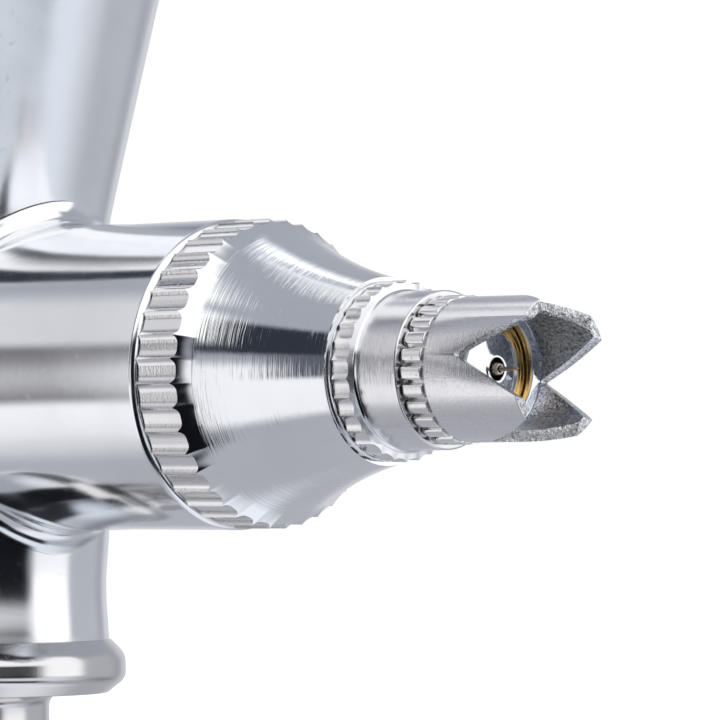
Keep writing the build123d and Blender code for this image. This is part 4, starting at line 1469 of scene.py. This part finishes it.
@dataclass
class NeedleTrain(Assembly):
    """The needle, its packing, the sliding guide with its spring, and the lock nut."""

    title = "needle train"
    draw: float = 2.1
    needle_r: float = 0.6
    taper_start: float = 22.0
    nut_teeth: int = 36
    nut_depth: float = 0.2

    def needle(self) -> bpy.types.Object:
        """Grind the needle.

        Returns:
            The needle.
        """
        tail, tip = low("needle").x, high("needle").x
        return turned("paint_needle", [
            Corner(tail, 0), Corner(tail, self.needle_r - 0.12, 0.1), Corner(tail + 0.3, self.needle_r, 0.2),
            Corner(self.taper_start, self.needle_r, 3.0), Corner(tip - 0.9, 0.105, 0.5),
            Corner(tip - 0.04, 0.04, 0.02), Corner(tip, 0)], segments=48)

    def nut(self) -> bpy.types.Object:
        """Turn and knurl the nut that locks the needle.

        Returns:
            The nut.
        """
        front, rear = high("needle_nut").x, low("needle_nut").x
        out = high("needle_nut").y
        piece = turned("lock_nut", [
            Corner(front, 1.92), Corner(front, out - 0.6, 0.3), Corner(front - 0.8, out - 0.45, 0.1),
            Corner(front - 1.0, out - 0.24, 0.0), Corner(front - 1.15, out, 0.04, 1, 0.6, 1),
            Corner(rear + 1.9, out, 0.04, 1, -0.6, 0), Corner(rear + 1.7, out - 0.24, 0.0),
            Corner(rear + 1.5, out - 0.4, 0.1), Corner(rear, out - 1.5, 0.35), Corner(rear, 0.62),
            Corner(-73.2, 0.62), Corner(-72.05, 1.5), Corner(-71.0, 1.92)], segments=self.nut_teeth * 10)
        return knurl(piece, self.nut_teeth, self.nut_depth, KnurlShape.FLUTED, [POLISHED, KNURLED])

    def case(self) -> bpy.types.Object:
        """Turn the spring's case.

        Returns:
            The case.
        """
        front, rear = high("spring_case").x, low("spring_case").x
        joint = low("barrel").x
        return turned("spring_sleeve", [
            Corner(front, 3.5), Corner(front, 4.48), Corner(joint, 4.48), Corner(joint, 4.3, 0.1),
            Corner(rear + 0.4, 4.3, 0.2), Corner(rear, 3.9, 0.1), Corner(rear, 1.95),
            Corner(rear + 2.0, 1.95), Corner(rear + 2.0, 3.5)], segments=96)

    def build(self) -> None:
        """Build and hang the train's pieces."""
        self.hang(self.needle(), "needle", "stainless", ["needle"], [STEEL])
        self.hang(self.nut(), "needle", "chrome_turned", ["needle_nut"])
        guide = from_cad("guide_tube", "needle_guide")
        self.hang(eased(guide, 0.08), "needle", "brass", ["needle_guide"], [BRASS])
        self.hang(self.case(), "root", "brass", ["spring_case"], [BRASS])
        middle = (low("needle_spring") + high("needle_spring")) / 2
        wire = 0.3
        coil = spring("closing_spring", Vector((high("needle_spring").x - wire, 0, middle.z)),
                      Vector((low("needle_spring").x + wire, 0, middle.z)), 2.7, wire, 8.0, WIRE)
        self.hang(coil, "root", "spring_steel", ["needle_spring"])
        shorten(coil)
        self.dress("needle_packing", WHITE_SEAL)
        self.dress("packing_screw", BRASS)


@dataclass
class Trigger(Assembly):
    """The finger lever and the screw that it turns on."""

    title = "trigger"
    head_r: float = 1.6
    slot_width: float = 0.5

    def lever(self) -> bpy.types.Object:
        """Round the lever's edges.

        Returns:
            The lever.
        """
        return eased(from_cad("finger_lever", "trigger"), 0.32, 38, 3)

    def screw(self) -> bpy.types.Object:
        """Turn the pivot screw and slot its head.

        Returns:
            The screw.
        """
        middle = (low("trigger_screw") + high("trigger_screw")) / 2
        near, far = low("trigger_screw").y, high("trigger_screw").y
        piece = turned("pivot_screw", [
            Corner(near, 0), Corner(near, self.head_r, 0.22), Corner(near + 0.9, self.head_r),
            Corner(near + 0.9, 0.98), Corner(far, 0.98, 0.2), Corner(far, 0)], Spin.VALVE, 64)
        quarter_turn = Matrix.Rotation(math.radians(-90), 4, "X")
        piece.data.transform(Matrix.Translation(Vector((middle.x, 0, middle.z)) * MM) @ quarter_turn)
        slot = box("slot", (middle.x - 2, near - 1, middle.z - self.slot_width / 2),
                   (middle.x + 2, near + 0.45, middle.z + self.slot_width / 2))
        return eased(cut(piece, [slot]), 0.04)

    def build(self) -> None:
        """Build and hang the trigger's pieces."""
        self.hang(self.lever(), "trigger", "chrome_body", ["trigger"], [POLISHED])
        self.hang(self.screw(), "root", "chrome_body", ["trigger_screw"], [POLISHED])


@dataclass
class Handle(Assembly):
    """The cut-away handle with its needle preset."""

    title = "handle"
    bore_r: float = 4.8
    window_half_height: float = 5.0
    window_front: float = -63.5
    window_rear: float = -92.0
    window_corner: float = 4.0
    knob_teeth: int = 36
    knob_depth: float = 0.25

    def shell(self) -> bpy.types.Object:
        """Turn the handle and cut its window.

        Returns:
            The handle.
        """
        front, end = high("handle").x, low("handle").x
        out = high("handle").y
        joint = low("barrel").x
        piece = turned("handle_shell", [
            Corner(front, 5.42), Corner(front, out, 0.18), Corner(front - 3.0, out, 0.0),
            Corner(front - 3.1, out - 0.22, 0.1), Corner(front - 3.6, out - 0.22, 0.1),
            Corner(front - 3.7, out, 0.0), Corner(-95.0, out, 30.0), Corner(end + 0.5, 4.4, 0.3),
            Corner(end, 3.9, 0.2), Corner(end, 1.55, 0.1), Corner(end + 8.0, 1.55), Corner(end + 8.0, 2.2),
            Corner(-96.0, 2.2), Corner(-93.0, self.bore_r), Corner(joint - 0.2, self.bore_r),
            Corner(joint - 0.2, 5.42)], segments=160)
        middle = Vector(((self.window_front + self.window_rear) / 2, 0, NEEDLE_HEIGHT))
        outline = rounded_box_outline(self.window_front - self.window_rear, 2 * self.window_half_height,
                                      self.window_corner)
        window = prism("window", outline, middle, Vector((1, 0, 0)), Vector((0, 0, 1)), 16)
        return eased(cut(piece, [window]), 0.12, 40, 3)

    def rod(self) -> bpy.types.Object:
        """Turn the preset's stop rod.

        Returns:
            The rod.
        """
        front, end = high("preset_rod").x, low("preset_rod").x
        return turned("stop_rod", [
            Corner(front, 0), Corner(front, 1.2, 0.1), Corner(front - 0.3, 1.5, 0.1), Corner(end, 1.5, 0.2),
            Corner(end, 0)], segments=48)

    def knob(self) -> bpy.types.Object:
        """Turn and knurl the preset's knob.

        Returns:
            The knob.
        """
        front, end = high("preset_knob").x, low("preset_knob").x
        out = high("preset_knob").y
        rod_end = low("preset_rod").x
        piece = turned("stop_knob", [
            Corner(front, 1.55), Corner(front, out - 1.3, 0.3), Corner(front - 1.2, out - 1.2, 0.3),
            Corner(front - 1.7, out - 0.1, 0.2), Corner(front - 2.0, out - 0.28, 0.0),
            Corner(front - 2.2, out, 0.04, 1, 0.6, 1), Corner(end + 1.7, out, 0.04, 1, -0.6, 0),
            Corner(end + 1.5, out - 0.28, 0.0), Corner(end + 1.3, out - 0.15, 0.15),
            Corner(end, out - 1.0, 0.5), Corner(end, 2.2, 0.3), Corner(end + 0.35, 1.8, 0.2),
            Corner(end + 0.35, 0), Corner(rod_end - 0.05, 0),
            Corner(rod_end - 0.05, 1.55)], segments=self.knob_teeth * 10)
        return knurl(piece, self.knob_teeth, self.knob_depth, KnurlShape.FLUTED, [POLISHED, KNURLED])

    def build(self) -> None:
        """Build and hang the handle's pieces."""
        self.hang(self.shell(), "root", "chrome_body", ["handle"], [POLISHED])
        self.hang(self.rod(), "preset_rod", "stainless", ["preset_rod"], [STEEL])
        self.hang(self.knob(), "preset_knob", "chrome_body", ["preset_knob"])


@dataclass
class AirValve(Assembly):
    """The valve under the cup: its body with collar and stud, and what works inside."""

    title = "air valve"
    push: float = 2.88
    undercut_r: float = 4.0
    inlet_r: float = 3.2
    pitch: float = 0.907
    thread_depth: float = 0.52
    steps_per_turn: int = 8

    def body(self) -> bpy.types.Object:
        """Turn the valve body and cut the stud's thread.

        Returns:
            The valve body.
        """
        stud_r = 4.86
        bottom = low("valve_body").z
        collar_top = low("barrel").z
        collar_r = high("valve_body").y
        collar_bottom = collar_top - 2.25
        stud_top = collar_bottom - 1.6
        top = high("valve_body").z
        corners = [Corner(bottom, self.inlet_r), Corner(bottom, stud_r - 0.55, 0.05),
                   Corner(0.0, stud_r, 0, 0.3)]
        stations = round((stud_top - 0.2) / self.pitch * self.steps_per_turn)
        for step in range(1, stations):
            height = stud_top * step / stations
            fade = min(1.0, height / 0.6, (stud_top - height) / 0.5)
            corners.append(Corner(height, stud_r, 0, fade))
        corners += [
            Corner(stud_top, stud_r - 0.3, 0), Corner(stud_top + 0.35, self.undercut_r, 0.3),
            Corner(collar_bottom, self.undercut_r, 0.55), Corner(collar_bottom, collar_r - 0.75, 0.15),
            Corner(collar_bottom + 0.62, collar_r, 0.55), Corner(collar_top - 0.62, collar_r - 0.02, 0.8),
            Corner(collar_top - 0.02, 6.62, 0.05), Corner(collar_top, 6.5), Corner(collar_top, 4.88),
            Corner(top, 4.88), Corner(top, 2.9), Corner(12.9, 2.9), Corner(12.9, 0.95),
            Corner(12.5, 0.95), Corner(12.5, 1.8), Corner(8.6, 1.8), Corner(8.6, self.inlet_r)]
        piece = turned("valve_housing", corners, Spin.VALVE, 144)
        return thread(piece, self.pitch, self.thread_depth, [SATIN_COLLAR])

    def build(self) -> None:
        """Build and hang the valve's pieces."""
        self.hang(self.body(), "root", "chrome_body", ["valve_body"])
        wire = 0.22
        coil = spring("valve_coil", Vector((0, 0, low("valve_spring").z + wire)),
                      Vector((0, 0, high("valve_spring").z - wire)), 2.1, wire, 5.0, WIRE)
        self.hang(coil, "root", "spring_steel", ["valve_spring"])
        shorten(coil)
        screw = from_cad("inlet_screw", "valve_guide_screw")
        self.hang(eased(screw, 0.06), "root", "brass", ["valve_guide_screw"], [BRASS])
        self.dress("valve_gasket", WHITE_SEAL)
        self.dress("valve_button", STEEL)
        self.dress("valve_stem_seal", BLACK_SEAL)
        self.dress("valve_poppet", BRASS)
        self.dress("valve_packing", BLACK_SEAL)


# -------------------------------------------------------------------- studio
@dataclass(frozen=True)
class Card:
    """A soft-edged panel of light or shade in the studio round the gun.

    Attributes:
        azimuth: Its middle, in degrees from -Y towards +X.
        elevation: Its middle, in degrees above the floor's level.
        half_width: Half its width in degrees.
        half_height: Half its height in degrees.
        edge: How soft its side edges are, in degrees.
        edge_up: How soft its upper and lower edges are.
        tone: Its colour, where 1 is white.
        roll: How far it is turned in its own plane, in degrees.
    """

    azimuth: float
    elevation: float
    half_width: float
    half_height: float
    edge: float
    edge_up: float
    tone: Colour
    roll: float = 0.0


@dataclass
class Studio:
    """The plain white studio: its cards, its floor and the camera."""

    azimuth: float = 42.2
    elevation: float = -1.5
    distance: float = 194.6
    aim_right: float = -2.31
    aim_up: float = 0.416
    lens: float = 250.0
    floor_size: float = 1.5
    cards: tuple[Card, ...] = (
        Card(-62, 0, 42, 38, 8, 4, (0.76, 0.76, 0.79)),
        Card(-142, 0, 22, 16, 8, 6, (0.68, 0.69, 0.73)),
        Card(-124, 28, 7, 5, 3, 3, (0.25, 0.28, 0.36)),
        Card(140, -66, 30, 13, 12, 8, (0.96, 0.99, 1.06)),
        Card(-10, -18, 40, 25, 5, 5, (1.06, 1.06, 1.09)),
        Card(-60, 1, 14.6, 15, 1.0, 3, (0.17, 0.165, 0.18)),
        Card(-21, 5, 15, 11, 3, 3, (0.12, 0.13, 0.16)),
        Card(-5, 28, 26, 13, 5, 3, (0.035, 0.04, 0.055)),
        Card(27, 34, 15, 12, 4, 4, (1.3, 1.3, 1.3)),
        Card(80, 55, 36, 25, 4, 6, (1.3, 1.3, 1.3)),
        Card(100, -24, 36, 14, 22, 5, (0.84, 0.90, 0.98)),
        Card(172, -6, 16, 22, 12, 10, (0.27, 0.285, 0.32)),
        Card(160, 4, 26, 20, 12, 8, (0.52, 0.54, 0.58)),
        Card(125, 15, 18, 24, 4, 5, (1.3, 1.3, 1.32)),
        Card(84, 18, 24, 14, 4, 5, (1.25, 1.26, 1.30)),
        Card(44, 5, 18, 17, 4, 5, (0.006, 0.007, 0.010)),
        Card(86, -5, 19, 11, 5, 3, (0.006, 0.007, 0.010)),
        Card(42, -33, 20, 24, 3, 4, (0.006, 0.007, 0.010)),
        Card(92, -44, 20, 9, 5, 4, (0.02, 0.022, 0.026)),
        Card(-118, 55, 10, 20, 5, 5, (1.35, 1.36, 1.40), 33.4),
    )

    def direction(self, azimuth: float, elevation: float) -> Vector:
        """Give the unit vector of a direction.

        Args:
            azimuth: Degrees from -Y towards +X.
            elevation: Degrees above the floor's level.

        Returns:
            The vector.
        """
        turn, lift = math.radians(azimuth), math.radians(elevation)
        return Vector((math.sin(turn) * math.cos(lift), -math.cos(turn) * math.cos(lift), math.sin(lift)))

    def mask(self, graph: Graph, aim: object, card: Card) -> object:
        """Give how much of a card is seen in a direction.

        Args:
            graph: The world's graph.
            aim: The direction.
            card: The card.

        Returns:
            The output socket, 1 on the card.
        """
        facing = self.direction(card.azimuth, card.elevation)
        across = Vector((0, 0, 1)).cross(facing).normalized()
        up = facing.cross(across)
        roll = Matrix.Rotation(math.radians(card.roll), 3, facing)
        across, up = roll @ across, roll @ up

        def dot(vector: Vector) -> object:
            """Give the direction's share along a vector."""
            product = graph.node("ShaderNodeVectorMath", {0: aim, 1: vector}, operation="DOT_PRODUCT")
            return product.outputs["Value"]

        ahead = dot(facing)
        result = graph.math("GREATER_THAN", ahead, -0.2)
        for vector, half, edge in ((across, card.half_width, card.edge),
                                   (up, card.half_height, card.edge_up)):
            angle = graph.math("ABSOLUTE", graph.math("ARCTAN2", dot(vector), ahead))
            inside = graph.ramp(angle, math.radians(half + edge), math.radians(half - edge))
            result = graph.math("MULTIPLY", result, inside)
        return result

    def world(self) -> None:
        """Light the gun from the studio's cards, on a white ground."""
        made = bpy.data.worlds.new("white_studio")
        bpy.context.scene.world = made
        made.use_nodes = True
        tree = made.node_tree
        tree.nodes.clear()
        graph = Graph(tree)
        aim = graph.node("ShaderNodeTexCoord").outputs["Generated"]
        height = graph.node("ShaderNodeSeparateXYZ", {0: aim}).outputs[2]
        colour = graph.mix(graph.ramp(height, -0.5, 0.6), (0.47, 0.485, 0.53, 1), (0.42, 0.44, 0.49, 1))
        for card in self.cards:
            colour = graph.mix(self.mask(graph, aim, card), colour, (*card.tone, 1))
        cards = graph.node("ShaderNodeBackground", {0: colour, 1: 1.0})
        white = graph.node("ShaderNodeBackground", {0: (1, 1, 1, 1), 1: 1.0})
        seen = graph.node("ShaderNodeLightPath").outputs["Is Camera Ray"]
        both = graph.node("ShaderNodeMixShader", {0: seen, 1: cards.outputs[0], 2: white.outputs[0]})
        graph.node("ShaderNodeOutputWorld", {0: both.outputs[0]})

    def floor(self) -> None:
        """Lay a plain pale floor under the gun."""
        level = min(low(node).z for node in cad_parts) - 0.6
        build = bmesh.new()
        bmesh.ops.create_grid(build, x_segments=1, y_segments=1, size=self.floor_size / 2)
        bmesh.ops.translate(build, vec=(0, 0, level * MM), verts=build.verts)
        mesh = meshed(build, "floor")
        ground = new_object("floor", mesh)
        made = bpy.data.materials.new("pale_floor")
        made.use_nodes = True
        shader = made.node_tree.nodes["Principled BSDF"]
        shader.inputs["Base Color"].default_value = (0.93, 0.93, 0.94, 1)
        shader.inputs["Roughness"].default_value = 0.7
        shader.inputs["Emission Color"].default_value = (1, 1, 1, 1)
        shader.inputs["Emission Strength"].default_value = 0.45
        mesh.materials.append(made)
        ground.visible_glossy = False

    def camera(self) -> None:
        """Stand the camera near the nose, a little below the needle, with a long lens."""
        back = self.direction(self.azimuth, self.elevation)
        right = Vector((0, 0, 1)).cross(back).normalized()
        up = back.cross(right)
        target = Vector((26.3, 0, NEEDLE_HEIGHT))
        place = target + right * self.aim_right + up * self.aim_up + back * self.distance
        data = bpy.data.cameras.new("camera")
        data.lens = self.lens
        data.sensor_width = 36.0
        data.clip_start = 0.005
        data.clip_end = 20.0
        eye = bpy.data.objects.new("camera", data)
        axes = Matrix((right, up, back)).transposed().to_4x4()
        eye.matrix_world = Matrix.Translation(place * MM) @ axes
        bpy.context.scene.collection.objects.link(eye)
        bpy.context.scene.camera = eye

    def build(self) -> None:
        """Build the studio."""
        self.world()
        self.floor()
        self.camera()
        bpy.context.scene.view_settings.view_transform = "Standard"
        LOG.info("studio: %d cards, camera at azimuth %.1f", len(self.cards), self.azimuth)


def main() -> None:
    """Build the studio and every sub-assembly in order."""
    logging.basicConfig(level=logging.INFO, format="%(message)s")
    Studio().build()
    assemblies: tuple[Assembly, ...] = (
        GunBody(), SprayHead(), NeedleTrain(), Trigger(), Handle(), AirValve())
    for assembly in assemblies:
        assembly.build()


if __name__ == "__main__":
    main()
